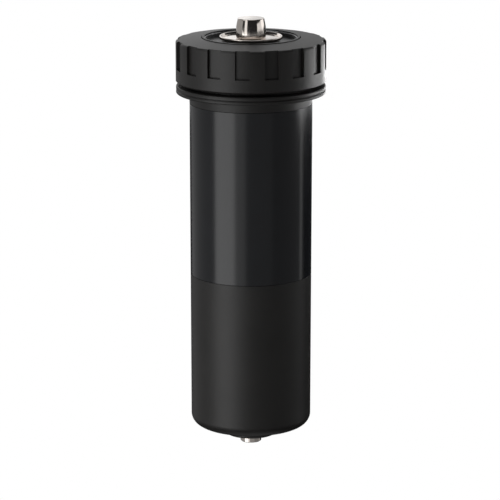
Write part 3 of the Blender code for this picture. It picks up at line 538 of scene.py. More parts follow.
def bright_steel(finishes):
    made = Shader("bright_steel", finishes.steel, 0.26, 1.0)
    rings, haze = made.turning(2200.0), made.noise(160.0, 4.0, 0.6)
    return made.finished(haze, made.shade(0.78), rings, 0.18, 0.34, (rings, 0.010 * MM))


def plated_magnet(finishes):
    made = Shader("plated_magnet", finishes.magnet, 0.20, 1.0)
    haze, grain = made.noise(260.0, 5.0, 0.6), made.noise(700.0, 3.0, 0.5)
    return made.finished(haze, made.shade(0.85), haze, 0.14, 0.28, (grain, 0.006 * MM))


def machined_brass(finishes):
    made = Shader("machined_brass", finishes.brass, 0.28, 1.0)
    rings, stain = made.turning(1800.0), made.noise(210.0, 4.0, 0.6)
    return made.finished(stain, (0.58, 0.40, 0.20), rings, 0.20, 0.36, (rings, 0.012 * MM))


def sealing_rubber(finishes):
    made = Shader("sealing_rubber", finishes.rubber, 0.55)
    bloom, grain = made.noise(320.0, 4.0, 0.6), made.noise(2400.0, 2.0, 0.5)
    return made.finished(bloom, made.shade(1.8), bloom, 0.48, 0.66, (grain, 0.008 * MM))


def sealing_fibre(finishes):
    made = Shader("sealing_fibre", finishes.fibre, 0.72)
    strands = made.noise(1400.0, 5.0, 0.7)
    return made.finished(strands, (0.18, 0.022, 0.014), strands, 0.64, 0.82, (strands, 0.03 * MM))


FINISH_OF = {
    "black_plastic": moulded_nylon,
    "label_film": label_film,
    "sleeve_plastic": sleeve_moulding,
    "nickel_plate": polished_nickel,
    "steel": bright_steel,
    "magnet_plate": plated_magnet,
    "brass": machined_brass,
    "rubber": sealing_rubber,
    "fibre": sealing_fibre,
}
made_finishes = {}


def material_for(slot):
    if slot not in made_finishes:
        made_finishes[slot] = FINISH_OF[slot](bpy.context.scene.filter_finishes)
    return made_finishes[slot]


# ---- canister and what is fixed to it ----
def flange_top(sizes):
    return foot("collar") - sizes.reveal


def wall_radius(sizes, z):
    """Outside of the canister's tapering wall."""
    under = flange_top(sizes) - sizes.flange
    base = foot("canister") + sizes.boss_height
    return sizes.radius - sizes.draft * (under - z) / (under - base)


def canister_outline(sizes):
    """Down the outside from the rim, round the drain boss, and up the inside."""
    rim = head("canister")
    base = foot("canister") + sizes.boss_height
    flange_r = radius("canister")
    top = flange_top(sizes)
    under = top - sizes.flange
    line = (top + under - sizes.groove) / 2
    band = rim - sizes.rim_band
    bed = sizes.label_bed
    bed_top, bed_foot = head("label_wrap") + bed / 2, foot("label_wrap") - bed / 2
    corner_z = base + sizes.base_corner
    corner_r = wall_radius(sizes, corner_z) - sizes.base_corner
    inner = sizes.base_corner - sizes.wall
    seat = radius("drain_insert") + sizes.label_bed / 2
    chamfer = sizes.boss_chamfer
    outline = [(sizes.radius, rim), (sizes.radius, band)]
    outline += [(sizes.neck, band - (sizes.neck - sizes.radius)), (sizes.neck, top)]
    outline += arc(flange_r - sizes.flange_round, top - sizes.flange_round, sizes.flange_round, 90, 0, 5)
    outline += [
        (flange_r, line + sizes.groove),
        (flange_r - sizes.groove, line),
        (flange_r, line - sizes.groove),
        (flange_r, under + sizes.groove),
        (flange_r - sizes.groove, under),
    ]
    outline += arc(sizes.radius + sizes.fillet, under - sizes.fillet, sizes.fillet, 90, 180, 6)
    outline += [
        (wall_radius(sizes, bed_top), bed_top),
        (wall_radius(sizes, bed_top) - bed, bed_top),
        (wall_radius(sizes, bed_foot) - bed, bed_foot),
        (wall_radius(sizes, bed_foot), bed_foot),
    ]
    outline += arc(corner_r, corner_z, sizes.base_corner, 0, -90, 12)
    outline += [(sizes.boss + chamfer, base), (sizes.boss, base - chamfer)]
    outline += [(sizes.boss, foot("canister") + chamfer), (sizes.boss - chamfer, foot("canister"))]
    outline += [(seat, foot("canister")), (seat, base + sizes.wall)]
    outline += arc(corner_r, corner_z, inner, -90, 0, 8)
    outline += [(sizes.radius - sizes.wall, under), (sizes.radius - sizes.wall, rim)]
    return outline


class FILTER_OT_canister(bpy.types.Operator):
    """Builds the canister with its flange, neck thread, drain boss and rear bosses"""

    bl_idname = "filter.canister"
    bl_label = "Canister"

    def execute(self, context):
        sizes = context.scene.filter_canister
        ports = context.scene.filter_ports
        shell = soften(lathe(canister_outline(sizes), 192), 0.22 * MM)
        seat = ports.shank + sizes.label_bed / 2
        outer = seat + ports.boss_wall
        start = sqrt(sizes.radius**2 - outer**2) - 1.5 * MM
        reach = sizes.radius + ports.boss_reach
        for port in ("port_spigot_upper", "port_spigot_lower"):
            height = middle(port).z
            boss = soften(lathe(ring(0, outer, start, reach), 96), 0.5 * MM, 3)
            shell = combined(shell, moved(boss, to_rear(height)), "UNION")
            shell = drilled(shell, seat, start - outer, 2 * reach, height, 96)
        bottom = flange_top(sizes) + sizes.thread_start
        add(shell, screw_thread(sizes.neck, sizes.thread_height, THREAD_FOOT, THREAD_CREST,
                                sizes.thread_pitch, THREAD_TURNS, bottom))
        show(shell, "canister_moulding", "canister")
        return {"FINISHED"}


class FILTER_OT_label(bpy.types.Operator):
    """Lays the bare label film in its bed round the canister"""

    bl_idname = "filter.label"
    bl_label = "Label"

    def execute(self, context):
        sizes = context.scene.filter_canister
        thickness = sizes.label_bed / 2
        top, bottom = head("label_wrap"), foot("label_wrap")
        upper, lower = wall_radius(sizes, top), wall_radius(sizes, bottom)
        outline = [(upper - thickness, top), (upper, top), (lower, bottom), (lower - thickness, bottom)]
        sweep = radians(300)
        film = lathe(outline, 150, sweep, -pi / 2 - sweep / 2)
        show(soften(film, 0.1 * MM, 2, 60), "label_skin", "label_wrap")
        return {"FINISHED"}


def spigot_outline(ports):
    """From the inner end of the bore, over the O-ring's groove and the flange, to the thread's end."""
    inner_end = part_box("port_spigot_upper")[0].y - AXIS.y
    face = PORT_FACE - AXIS.y
    shoulder = face - ports.thread_length
    flange = shoulder - ports.flange
    rim = radius("port_spigot_upper")
    seal = middle("port_seal_upper").y - AXIS.y
    root = ports.thread_radius - ports.thread_height
    outline = [(ports.bore, inner_end), (ports.shank, inner_end)]
    outline += seal_groove(ports.shank, seal - SEAL_HALF, seal + SEAL_HALF)
    outline += [(ports.shank, flange), (rim, flange), (rim, shoulder)]
    return outline + [(root, shoulder), (root, face), (ports.bore, face)]


class FILTER_OT_ports(bpy.types.Operator):
    """Builds the two threaded spigots that the pipework holds"""

    bl_idname = "filter.ports"
    bl_label = "Ports"

    def execute(self, context):
        ports = context.scene.filter_ports
        face = PORT_FACE - AXIS.y
        turns = int((ports.thread_length - 1.6 * MM) / ports.thread_pitch)
        for name in ("upper", "lower"):
            node = "port_spigot_" + name
            spigot = turned(spigot_outline(ports), 0.25 * MM)
            start = face - 0.5 * MM - (turns + 0.35) * ports.thread_pitch
            add(spigot, screw_thread(
                ports.thread_radius - ports.thread_height, ports.thread_height, 2.25 * MM, 0.3 * MM,
                ports.thread_pitch, turns, start, 96))
            show(moved(spigot, to_rear(middle(node).z)), "threaded_spigot_" + name, node)
        return {"FINISHED"}


class FILTER_OT_drain_insert(bpy.types.Operator):
    """Builds the brass insert that the drain plug screws into"""

    bl_idname = "filter.drain_insert"
    bl_label = "Drain insert"

    def execute(self, context):
        sizes = context.scene.filter_drain
        outer, bore = radius("drain_insert"), sizes.thread_radius + GAP
        waist = outer - sizes.groove
        bottom, top = foot("drain_insert"), head("drain_insert")
        third = (top - bottom) / 3
        outline = [(bore, bottom), (outer, bottom), (outer, bottom + third), (waist, bottom + third)]
        outline += [(waist, top - third), (outer, top - third), (outer, top), (bore, top)]
        show(turned(outline, 0.2 * MM), "brass_insert", "drain_insert")
        return {"FINISHED"}


class FILTER_OT_seals(bpy.types.Operator):
    """Builds every O-ring as a round-section ring"""

    bl_idname = "filter.seals"
    bl_label = "O-rings"

    def execute(self, context):
        for node in sorted(SLOT_OF):
            if not node.startswith(("port_seal", "lid_seal", "sleeve_seal", "head_seal")):
                continue
            low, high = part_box(node)
            to_back = node.startswith("port_seal")
            section = (high.y - low.y if to_back else high.z - low.z) / sqrt(3)
            outline = arc(radius(node) - section, 0, section, 0, 342, 19)
            seal = lathe(outline, 96)
            if to_back:
                moved(seal, to_rear(middle(node).z) @ Matrix.Translation((0, 0, middle(node).y - AXIS.y)))
            else:
                moved(seal, Matrix.Translation((0, 0, middle(node).z)))
            show(seal, "o_ring_" + node.replace("_seal", ""), node, 80)
        return {"FINISHED"}


# ---- lid group ----
def lid_outline(sizes, canister):
    """Down the spigot's outside from the flange, up inside it, and round the ledge and the wall."""
    rim = head("canister")
    under = rim + GAP
    flange_z = under + sizes.flange
    spigot_r = canister.radius - canister.wall - GAP
    inside = spigot_r - sizes.spigot_wall
    groove_top = foot("lift_ring") - GAP
    recess = radius("magnet_sleeve") + GAP
    hole = recess - sizes.ledge
    ledge_z = foot_of_sleeve_flange() - GAP
    ring_r = recess + sizes.ring_bite + GAP
    ring_low, ring_top = foot("retaining_ring") - GAP, head("lid") - sizes.lip
    outline = [(radius("lid"), flange_z), (radius("lid"), under), (spigot_r, under)]
    outline += seal_groove(spigot_r, groove_top, groove_top - 2 * SEAL_HALF)
    outline += [(spigot_r, foot("lid")), (inside, foot("lid")), (inside, rim - sizes.web)]
    outline += [(hole, rim - sizes.web), (hole, ledge_z), (recess, ledge_z), (recess, ring_low)]
    outline += [(ring_r, ring_low), (ring_r, ring_top), (recess, ring_top), (recess, head("lid"))]
    return outline + [(recess + sizes.wall, head("lid")), (recess + sizes.wall, flange_z)]


def foot_of_sleeve_flange():
    return head("magnet_sleeve") - bpy.context.scene.filter_sleeve.flange


class FILTER_OT_lid(bpy.types.Operator):
    """Builds the lid that closes the canister and carries the sleeve"""

    bl_idname = "filter.lid"
    bl_label = "Lid"

    def execute(self, context):
        outline = lid_outline(context.scene.filter_lid, context.scene.filter_canister)
        show(soften(lathe(outline, 160), 0.2 * MM), "lid_moulding", "lid")
        return {"FINISHED"}


class FILTER_OT_snap_rings(bpy.types.Operator):
    """Builds the split rings in the lid and in the collar"""

    bl_idname = "filter.snap_rings"
    bl_label = "Snap rings"

    def execute(self, context):
        lid, canister = context.scene.filter_lid, context.scene.filter_canister
        held = radius("magnet_sleeve") + GAP + lid.ring_bite
        lift = collar_bore(context.scene.filter_collar) + lid.ring_bite - GAP
        sweep = radians(335)
        start = pi / 2 + (FULL_TURN - sweep) / 2
        for name, node, inner, outer in (
            ("split_retaining_ring", "retaining_ring", held - lid.ring_width, held),
            ("split_lift_ring", "lift_ring", canister.radius + 2 * GAP, lift),
        ):
            snap = lathe(ring(inner, outer, foot(node), head(node)), 150, sweep, start)
            show(soften(snap, 0.25 * MM, 3, 60), name, node)
        return {"FINISHED"}


class FILTER_OT_sleeve(bpy.types.Operator):
    """Builds the closed sleeve that keeps the magnets dry"""

    bl_idname = "filter.sleeve"
    bl_label = "Magnet sleeve"

    def execute(self, context):
        sizes = context.scene.filter_sleeve
        bottom, top = foot("magnet_sleeve"), head("magnet_sleeve")
        under = foot_of_sleeve_flange()
        outer = sizes.bore + sizes.wall
        hub_r = sizes.bore + sizes.hub_wall
        hub_top = top - 2 * GAP
        dish = top - sizes.dish
        edge = radius("magnet_sleeve")
        seal_low, seal_high = radius("sleeve_seal") - SEAL_DEPTH, radius("sleeve_seal") + GAP
        round_end = sizes.wall + sizes.floor
        outline = [(0, bottom)]
        outline += arc(outer - round_end, bottom + round_end, round_end, -90, 0, 8)
        outline += [(outer, under - sizes.hub_wall), (outer + sizes.hub_wall, under), (seal_low, under)]
        outline += [(seal_low, under + SEAL_DEPTH), (seal_high, under + SEAL_DEPTH), (seal_high, under)]
        outline += [(edge, under), (edge, top), (edge - sizes.rim, top), (edge - sizes.rim, dish)]
        outline += [(hub_r, dish), (hub_r, hub_top), (sizes.bore, hub_top)]
        outline += [(sizes.bore, bottom + sizes.floor), (0, bottom + sizes.floor)]
        sleeve = turned(outline, 0.2 * MM, 128)
        sleeve = drilled(sleeve, sizes.drilling, sizes.bore / 2, 2 * outer, sizes.drilling_height)
        show(sleeve, "sleeve_moulding", "magnet_sleeve")
        return {"FINISHED"}


# ---- collar group ----
def collar_bore(sizes):
    return radius("collar") - sizes.pocket_depth - sizes.wall


def collar_outline(sizes, lid):
    """Down the outside from the opening's edge, and up the bore. A pocket starts at the second point."""
    outer, top, bottom = radius("collar"), head("collar"), foot("collar")
    pocket_r = outer - sizes.pocket_depth
    bore = collar_bore(sizes)
    ring_r = bore + lid.ring_bite
    chamfer = 1.2 * MM
    edge_z = top - sizes.crown
    fall = sizes.crown * (pocket_r - sizes.opening) / (outer - sizes.edge - sizes.opening)
    groove_low, groove_top = foot("lift_ring") - GAP, head("canister") + GAP
    outline = [(sizes.opening, top), (pocket_r, top - fall)]
    outline += arc(outer - sizes.edge, edge_z - sizes.edge, sizes.edge, 88, 0, 5)
    outline += [(outer, top - sizes.pocket_height), (outer, bottom + chamfer), (outer - chamfer, bottom)]
    outline += [(bore, bottom), (bore, groove_low), (ring_r, groove_low), (ring_r, groove_top)]
    return outline + [(bore, groove_top), (bore, top - sizes.top), (sizes.opening, top - sizes.top)]


def collar_sector(outline, sweeps, start):
    """One repeat of the collar: the closed outline spun through each (angle, steps) in turn, left open."""
    bm = bmesh.new()
    verts = [bm.verts.new((r * cos(start), r * sin(start), z)) for r, z in outline]
    last = verts + [bm.edges.new(pair) for pair in zip(verts, verts[1:] + verts[:1])]
    for angle, steps in sweeps:
        last = bmesh.ops.spin(
            bm, geom=last, cent=(0, 0, 0), axis=(0, 0, 1), angle=angle, steps=steps
        )["geom_last"]
    return bm


def sink_pocket(bm, sizes, centre):
    """Pushes in the outer faces of one pocket, to a floor that is round like the collar."""
    outer, top = radius("collar"), head("collar")
    floor_r = outer - sizes.pocket_depth
    ledge = top - sizes.pocket_height
    slack = 0.01 * MM

    def in_pocket(face):
        middle_point = face.calc_center_median()
        turn = atan2(middle_point.y, middle_point.x) - centre
        turn = (turn + pi) % FULL_TURN - pi
        outside = min(vert.co.xy.length for vert in face.verts) > floor_r - slack
        high = min(vert.co.z for vert in face.verts) > ledge - slack
        return abs(turn) < sizes.pocket_sweep / 2 and outside and high

    faces = [face for face in bm.faces if in_pocket(face)]
    if not faces:
        raise RuntimeError("no face of the collar lies in a pocket")
    for vert in points(bmesh.ops.extrude_face_region(bm, geom=faces)["geom"]):
        vert.co.xy *= floor_r / vert.co.xy.length
    bmesh.ops.delete(bm, geom=faces, context="FACES")
    bmesh.ops.remove_doubles(bm, verts=bm.verts, dist=MERGE)


class FILTER_OT_collar(bpy.types.Operator):
    """Builds the screw collar with its grip pockets and its inner thread"""

    bl_idname = "filter.collar"
    bl_label = "Collar"

    def execute(self, context):
        sizes, lid = context.scene.filter_collar, context.scene.filter_lid
        canister = context.scene.filter_canister
        repeat = FULL_TURN / sizes.pockets
        land = (repeat - sizes.pocket_sweep) / 2
        centre = -pi / 2 + sizes.pocket_phase
        sweeps = ((land, 4), (sizes.pocket_sweep, 9), (land, 4))
        collar = collar_sector(collar_outline(sizes, lid), sweeps, centre - repeat / 2)
        sink_pocket(collar, sizes, centre)
        first = collar.verts[:] + collar.edges[:] + collar.faces[:]
        for i in range(1, sizes.pockets):
            copy = points(bmesh.ops.duplicate(collar, geom=first)["geom"])
            bmesh.ops.rotate(collar, verts=copy, cent=(0, 0, 0), matrix=Matrix.Rotation(i * repeat, 3, "Z"))
        tidy(collar)
        soften(collar, sizes.softening, 3, 25)
        bore = collar_bore(sizes)
        bottom = flange_top(canister) + canister.thread_start + canister.thread_pitch / 2
        height = bore - radius("lid") - 2 * GAP
        add(collar, screw_thread(bore, height, THREAD_FOOT, THREAD_CREST,
                                 canister.thread_pitch, THREAD_TURNS, bottom, inward=True))
        show(collar, "collar_moulding", "collar")
        return {"FINISHED"}


# ---- core group ----
def head_outline(sizes, sleeve, vent):
    """From the bottom of the vent passage, up and over the dish, and down the stem to the rod's socket."""
    top = head("core_head")
    under = top - sizes.head_height
    floor = top - sizes.dish
    outer = radius("core_head")
    stem = sleeve.bore - sizes.stem_gap
    rod = radius("core_rod") + sizes.rod_room
    end = foot("core_head")
    passage_end = sleeve.drilling_height - vent.passage
    seat, seat_z = sizes.shank + GAP, foot("vent_body") - GAP
    rim, third = sizes.rim, sizes.rim / 3
    outline = [(0, passage_end), (vent.passage, passage_end), (vent.passage, seat_z), (seat, seat_z)]
    outline += [(seat, floor), (radius("vent_cap") + rim, floor), (outer - 2 * rim, floor + third)]
    outline += [(outer - rim, top), (outer - third, top), (outer, top - third), (outer, under + rim)]
    outline += [(outer - rim, under), (stem, under)]
    for seal in ("head_seal_upper", "head_seal_lower"):
        outline += seal_groove(stem, middle(seal).z + SEAL_HALF, middle(seal).z - SEAL_HALF)
    return outline + [(stem, end), (rod, end), (rod, end + sizes.rod_socket), (0, end + sizes.rod_socket)]


class FILTER_OT_core_head(bpy.types.Operator):
    """Builds the dished head and stem that lift the magnets out"""

    bl_idname = "filter.core_head"
    bl_label = "Core head"

    def execute(self, context):
        sizes, sleeve, vent = (
            context.scene.filter_core, context.scene.filter_sleeve, context.scene.filter_vent
        )
        shape = turned(head_outline(sizes, sleeve, vent), 0.2 * MM, 128)
        shape = drilled(shape, vent.passage, 0, 2 * sleeve.bore, sleeve.drilling_height)
        show(shape, "plated_head", "core_head")
        return {"FINISHED"}


class FILTER_OT_vent_body(bpy.types.Operator):
    """Builds the threaded body of the air vent"""

    bl_idname = "filter.vent_body"
    bl_label = "Vent body"

    def execute(self, context):
        core, vent = context.scene.filter_core, context.scene.filter_vent
        shoulder = head("core_head") - core.dish + GAP
        bottom, top = foot("vent_body"), head("vent_body")
        outline = [(vent.passage, bottom), (core.shank, bottom), (core.shank, shoulder)]
        outline += [(vent.body, shoulder), (vent.body, top), (vent.passage, top)]
        body = turned(outline, 0.25 * MM)
        turns = 4
        start = (shoulder + top - turns * vent.thread_pitch) / 2
        add(body, screw_thread(
            vent.body, vent.thread_height, 1.1 * MM, 0.25 * MM, vent.thread_pitch, turns, start))
        show(body, "threaded_vent_body", "vent_body")
        return {"FINISHED"}


class FILTER_OT_magnet_stack(bpy.types.Operator):
    """Builds the magnets, the steel poles between them and the end washer"""

    bl_idname = "filter.magnet_stack"
    bl_label = "Magnets and poles"

    def execute(self, context):
        sizes = context.scene.filter_core
        bore = radius("core_rod") + sizes.rod_room
        stacked = {node for node in SLOT_OF if node.startswith(("magnet_", "pole_", "end_washer"))}
        for node in sorted(stacked - {"magnet_sleeve"}):
            outline = ring(bore, radius(node), foot(node), head(node))
            softening = min(sizes.chamfer, (head(node) - foot(node)) / 5)
            show(turned(outline, softening), "turned_" + node, node)
        return {"FINISHED"}


class FILTER_OT_rod(bpy.types.Operator):
    """Builds the rod that pulls the stack together, and its end nut"""

    bl_idname = "filter.rod"
    bl_label = "Rod and nut"

    def execute(self, context):
        sizes = context.scene.filter_core
        reach = radius("core_rod")
        bottom, top = foot("core_rod"), head("core_rod")
        thread_height = 0.5 * MM
        root = reach - thread_height
        threaded = bottom + 12 * MM
        outline = [(0, bottom), (root, bottom), (root, threaded), (reach, threaded), (reach, top), (0, top)]
        rod = turned(outline, 0.3 * MM, 64)
        add(rod, screw_thread(root, thread_height, 1.1 * MM, 0.15 * MM, 1.25 * MM, 8, bottom + 1.2 * MM, 48))
        show(rod, "stack_rod", "core_rod")
        show(hexagon_nut(sizes, reach), "hexagon_nut", "end_nut")
        return {"FINISHED"}


def hexagon_loop(bm, across_flats, count, z):
    """A hexagon of edges with as many points as the round loop that it meets."""
    corner = across_flats / cos(pi / 6) / 2
    verts = bmesh.ops.create_circle(bm, cap_ends=False, radius=corner, segments=6)["verts"]
    bmesh.ops.translate(bm, verts=verts, vec=(0, 0, z))
    edges = list({edge for vert in verts for edge in vert.link_edges})
    bmesh.ops.subdivide_edges(bm, edges=edges, cuts=count // 6 - 1)
    return [edge for edge in bm.edges if edge.is_wire and all(abs(v.co.z - z) < MERGE for v in edge.verts)]


def hexagon_nut(sizes, rod_radius):
    """A nut: a flat ring between a hexagon and a circle, extruded to its height and softened."""
    bottom, top = foot("end_nut"), head("end_nut")
    bm = bmesh.new()
    outer = hexagon_loop(bm, sizes.nut_flats, 72, bottom)
    made = bmesh.ops.create_circle(bm, cap_ends=False, radius=rod_radius + sizes.rod_room, segments=72)
    bmesh.ops.translate(bm, verts=made["verts"], vec=(0, 0, bottom))
    inner = list({edge for vert in made["verts"] for edge in vert.link_edges})
    faces = bmesh.ops.bridge_loops(bm, edges=outer + inner)["faces"]
    pulled = bmesh.ops.extrude_face_region(bm, geom=faces)["geom"]
    bmesh.ops.translate(bm, verts=points(pulled), vec=(0, 0, top - bottom))
    tidy(bm)
    return soften(bm, 0.35 * MM, 2, 35)


# ---- vent group ----
class FILTER_OT_vent(bpy.types.Operator):
    """Builds the vent's cap and the washer under it"""

    bl_idname = "filter.vent"
    bl_label = "Air vent"

    def execute(self, context):
        sizes = context.scene.filter_vent
        washer = ring(0, radius("vent_washer"), foot("vent_washer"), head("vent_washer"))
        show(turned(washer, 0.25 * MM), "washer_disc", "vent_washer")
        foot_r, bottom, crown = radius("vent_cap"), foot("vent_cap"), head("vent_cap")
        bore = sizes.body + sizes.thread_height + GAP
        inside = crown - sizes.crown
        chamfer, fall = 0.35 * MM, 0.05 * MM
        outline = [(0, inside), (bore, inside), (bore, bottom), (foot_r - chamfer, bottom)]
        outline += [(foot_r, bottom + chamfer), (sizes.crease, bottom + sizes.crease_height)]
        outline += arc(sizes.top - sizes.edge, crown - sizes.edge, sizes.edge, 8, 90, 6)
        outline += [(sizes.top - 4 * sizes.edge, crown - fall), (0, crown - 2 * fall)]
        cap = soften(lathe(outline, 128), 0.12 * MM, 2, 40)
        cap = drilled(cap, sizes.bleed, 0, 2 * foot_r, bottom + sizes.bleed_height)
        show(cap, "polished_vent_cap", "vent_cap")
        return {"FINISHED"}


# ---- drain group ----
class FILTER_OT_drain(bpy.types.Operator):
    """Builds the drain plug with its hexagon socket, and the seal under its head"""

    bl_idname = "filter.drain"
    bl_label = "Drain plug"

    def execute(self, context):
        sizes = context.scene.filter_drain
        bore = sizes.thread_radius + GAP
        seal = ring(bore, radius("drain_seal"), foot("drain_seal"), head("drain_seal"))
        show(turned(seal, 0.25 * MM), "fibre_ring", "drain_seal")
        show(drain_plug(sizes), "hexagon_socket_plug", "drain_plug")
        return {"FINISHED"}


def drain_plug(sizes):
    """The turned plug, left open below, with its end face drawn in to the hexagon socket."""
    outer = radius("drain_plug")
    bottom, top = foot("drain_plug"), head("drain_plug")
    shoulder = bottom + sizes.head_height
    core = sizes.thread_radius - sizes.thread_height
    lead = 0.5 * MM
    outline = [(0, top), (core - lead, top), (core, top - lead), (core, shoulder), (outer, shoulder)]
    outline += [(outer, bottom + sizes.chamfer), (outer - sizes.chamfer, bottom)]
    plug = lathe(outline, 96, closed=False)
    rim = [edge for edge in plug.edges if edge.is_boundary]
    socket = hexagon_loop(plug, sizes.key_flats, 96, bottom)
    bmesh.ops.bridge_loops(plug, edges=rim + socket)
    pulled = bmesh.ops.extrude_edge_only(plug, edges=socket)["geom"]
    bmesh.ops.translate(plug, verts=points(pulled), vec=(0, 0, sizes.key_depth))
    bmesh.ops.holes_fill(plug, edges=[edge for edge in plug.edges if edge.is_boundary], sides=0)
    tidy(plug)
    soften(plug, 0.15 * MM, 2, 35)
    turns = 5
    start = top - 0.6 * MM - turns * sizes.thread_pitch
    return add(plug, screw_thread(
        core, sizes.thread_height, 1.1 * MM, 0.2 * MM, sizes.thread_pitch, turns, start))


# ---- stage ----
TENT_FOOT, TENT_RIM, TENT_HEAD = -0.75, 0.12, 0.70  # edges of the tent's bands, in metres
COLLAR_FOOT, COLLAR_HEAD, COLLAR_REACH = 0.078, 0.125, 0.35  # two cards that only the collar sees


def lamp(name, place, facing, width, height, glow):
    """A soft lamp that the camera doesn't see. Glow is its radiance."""
    data = bpy.data.lights.new(name, "AREA")
    data.shape = "RECTANGLE"
    data.size = width
    data.size_y = height
    data.energy = glow * pi * width * height
    obj = bpy.data.objects.new(name, data)
    obj.matrix_world = Matrix.Translation(place) @ facing.to_track_quat("-Z", "Y").to_matrix().to_4x4()
    obj.visible_camera = False
    bpy.context.scene.collection.objects.link(obj)


def card(name, azimuth, sweep, bottom, top, glow, distance=1.2):
    """A lamp in the wall of the light tent, seen from the filter's axis over a sweep of azimuth.

    Azimuth is in degrees from the front, to the right.
    """
    turn = radians(azimuth)
    inward = Vector((-sin(turn), cos(turn), 0))
    place = AXIS - inward * distance + Vector((0, 0, (bottom + top) / 2))
    lamp(name, place, inward, 2 * distance * tan(radians(sweep / 2)), top - bottom, glow)


def room_light(world, brightness):
    """A white room to the camera and a dim one to everything else, so that only the lamps shape the gloss."""
    world.use_nodes = True
    tree = world.node_tree
    sky = tree.nodes["Background"]
    sky.inputs["Strength"].default_value = 1.0
    path = tree.nodes.new("ShaderNodeLightPath")
    mix = tree.nodes.new("ShaderNodeMix")
    mix.data_type = "RGBA"
    mix.inputs["A"].default_value = (brightness, brightness, brightness * 1.05, 1.0)
    mix.inputs["B"].default_value = (1.0, 1.0, 1.0, 1.0)
    tree.links.new(path.outputs["Is Camera Ray"], mix.inputs["Factor"])
    tree.links.new(mix.outputs["Result"], sky.inputs["Color"])


def pale_floor(drop):
    """A wide pale floor, bright by itself and clear from below, that the gloss of the filter doesn't see."""
    bm = bmesh.new()
    bmesh.ops.create_grid(bm, x_segments=1, y_segments=1, size=40.0)
    obj = bpy.data.objects.new("floor", mesh_from(bm, "floor"))
    obj.location = (0, 0, foot("drain_plug") - drop)
    material = bpy.data.materials.new("pale_floor")
    material.use_nodes = True
    tree = material.node_tree
    surface = tree.nodes["Principled BSDF"]
    surface.inputs["Base Color"].default_value = (0.0, 0.0, 0.0, 1.0)
    surface.inputs["Specular IOR Level"].default_value = 0.0
    surface.inputs["Emission Color"].default_value = (1.0, 1.0, 1.0, 1.0)
    surface.inputs["Emission Strength"].default_value = 1.0
    geometry = tree.nodes.new("ShaderNodeNewGeometry")
    clear = tree.nodes.new("ShaderNodeBsdfTransparent")
    mix = tree.nodes.new("ShaderNodeMixShader")
    tree.links.new(geometry.outputs["Backfacing"], mix.inputs["Fac"])
    tree.links.new(surface.outputs["BSDF"], mix.inputs[1])
    tree.links.new(clear.outputs["BSDF"], mix.inputs[2])
    tree.links.new(mix.outputs["Shader"], tree.nodes["Material Output"].inputs["Surface"])
    obj.data.materials.append(material)
    obj.visible_glossy = False
    obj.visible_diffuse = False
    obj.visible_shadow = False
    bpy.context.scene.collection.objects.link(obj)


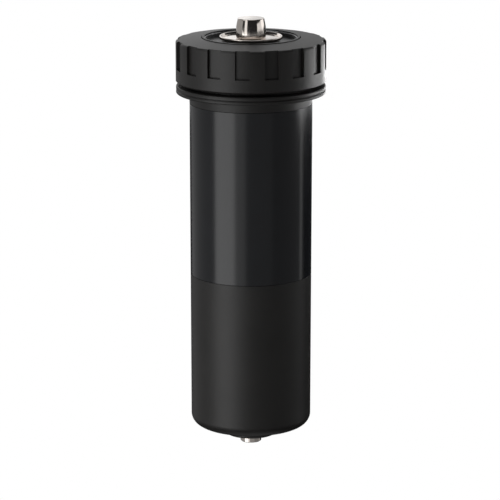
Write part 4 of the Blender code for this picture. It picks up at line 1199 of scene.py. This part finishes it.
class FILTER_OT_stage(bpy.types.Operator):
    """Sets the floor, the lamps and the camera"""

    bl_idname = "filter.stage"
    bl_label = "Stage"

    def execute(self, context):
        settings = context.scene.filter_stage
        context.scene.view_settings.view_transform = "Standard"
        pale_floor(settings.drop)
        context.scene.world = bpy.data.worlds.new("room")
        room_light(context.scene.world, settings.room)
        card("key", -50, 40, TENT_FOOT, TENT_RIM, 2.1)
        card("key_top", -40, 20, TENT_RIM, TENT_HEAD, 1.1)
        card("key_edge", -20, 20, TENT_FOOT, TENT_RIM, 0.78)
        card("front", 15, 50, TENT_FOOT, TENT_RIM, 0.27)
        card("left", -110, 80, TENT_FOOT, TENT_HEAD, 0.33)
        card("back_left", -165, 30, -0.11, TENT_HEAD, 0.33)
        card("right", 70, 60, TENT_FOOT, TENT_RIM, 0.18)
        card("right_edge", 108, 8, TENT_FOOT, TENT_RIM, 0.75)
        card("right_cap", 70, 40, 0.14, 0.34, 0.85)
        card("right_high", 110, 40, TENT_RIM, TENT_HEAD, 1.3)
        card("back", 180, 40, -0.11, 0.35, 0.30)
        card("back_high", 180, 90, 0.35, 1.30, 0.80)
        card("sky_left", -60, 40, TENT_HEAD, 1.60, 2.6)
        card("collar_right", 108, 32, COLLAR_FOOT, COLLAR_HEAD, 8.0, COLLAR_REACH)
        card("collar_back_right", 146, 18, COLLAR_FOOT, COLLAR_HEAD, 12.0, COLLAR_REACH)
        lamp("roof", AXIS + Vector((0, 0, 1.7)), Vector((0, 0, -1)), 1.3, 1.3, 0.8)
        lamp("ground", AXIS - Vector((0, 0, 1.4)), Vector((0, 0, 1)), 1.2, 1.2, 0.35)
        camera = bpy.data.cameras.new("camera")
        camera.sensor_width = 36.0
        camera.lens = settings.focal
        camera.clip_end = 200.0
        obj = bpy.data.objects.new("camera", camera)
        rise = settings.camera_height
        aim = AXIS + Vector((-settings.aim_left, 0, settings.aim_rise))
        back = Vector((0, -cos(rise), sin(rise)))
        obj.location = aim + back * settings.camera_distance
        obj.rotation_mode = "QUATERNION"
        obj.rotation_quaternion = (-back).to_track_quat("-Z", "Y")
        context.scene.collection.objects.link(obj)
        context.scene.camera = obj
        return {"FINISHED"}


# ---- add-on ----
SETTINGS = {
    "filter_canister": CanisterSizes,
    "filter_collar": CollarSizes,
    "filter_lid": LidSizes,
    "filter_sleeve": SleeveSizes,
    "filter_core": CoreSizes,
    "filter_vent": VentSizes,
    "filter_drain": DrainSizes,
    "filter_ports": PortSizes,
    "filter_finishes": Finishes,
    "filter_stage": StageSettings,
}
STEPS = (
    FILTER_OT_canister, FILTER_OT_label, FILTER_OT_ports, FILTER_OT_drain_insert, FILTER_OT_seals,
    FILTER_OT_lid, FILTER_OT_snap_rings, FILTER_OT_sleeve, FILTER_OT_collar, FILTER_OT_core_head,
    FILTER_OT_vent_body, FILTER_OT_magnet_stack, FILTER_OT_rod, FILTER_OT_vent, FILTER_OT_drain,
    FILTER_OT_stage,
)


class FILTER_PT_build(bpy.types.Panel):
    """Lists the building steps and the settings that they read"""

    bl_idname = "FILTER_PT_build"
    bl_label = "Magnetic filter"
    bl_space_type = "VIEW_3D"
    bl_region_type = "UI"
    bl_category = "Filter"

    def draw(self, context):
        for step in STEPS:
            self.layout.operator(step.bl_idname)
        for name, group in SETTINGS.items():
            box = self.layout.box()
            box.label(text=group.__name__)
            for key in group.__annotations__:
                box.prop(getattr(context.scene, name), key)


def register():
    for group in SETTINGS.values():
        bpy.utils.register_class(group)
    for step in STEPS:
        bpy.utils.register_class(step)
    bpy.utils.register_class(FILTER_PT_build)
    for name, group in SETTINGS.items():
        setattr(bpy.types.Scene, name, PointerProperty(type=group))


def unregister():
    for name in SETTINGS:
        delattr(bpy.types.Scene, name)
    bpy.utils.unregister_class(FILTER_PT_build)
    for step in reversed(STEPS):
        bpy.utils.unregister_class(step)
    for group in reversed(SETTINGS.values()):
        bpy.utils.unregister_class(group)


def main():
    register()
    for step in STEPS:
        group, name = step.bl_idname.split(".")
        getattr(getattr(bpy.ops, group), name)()


if __name__ == "__main__":
    main()
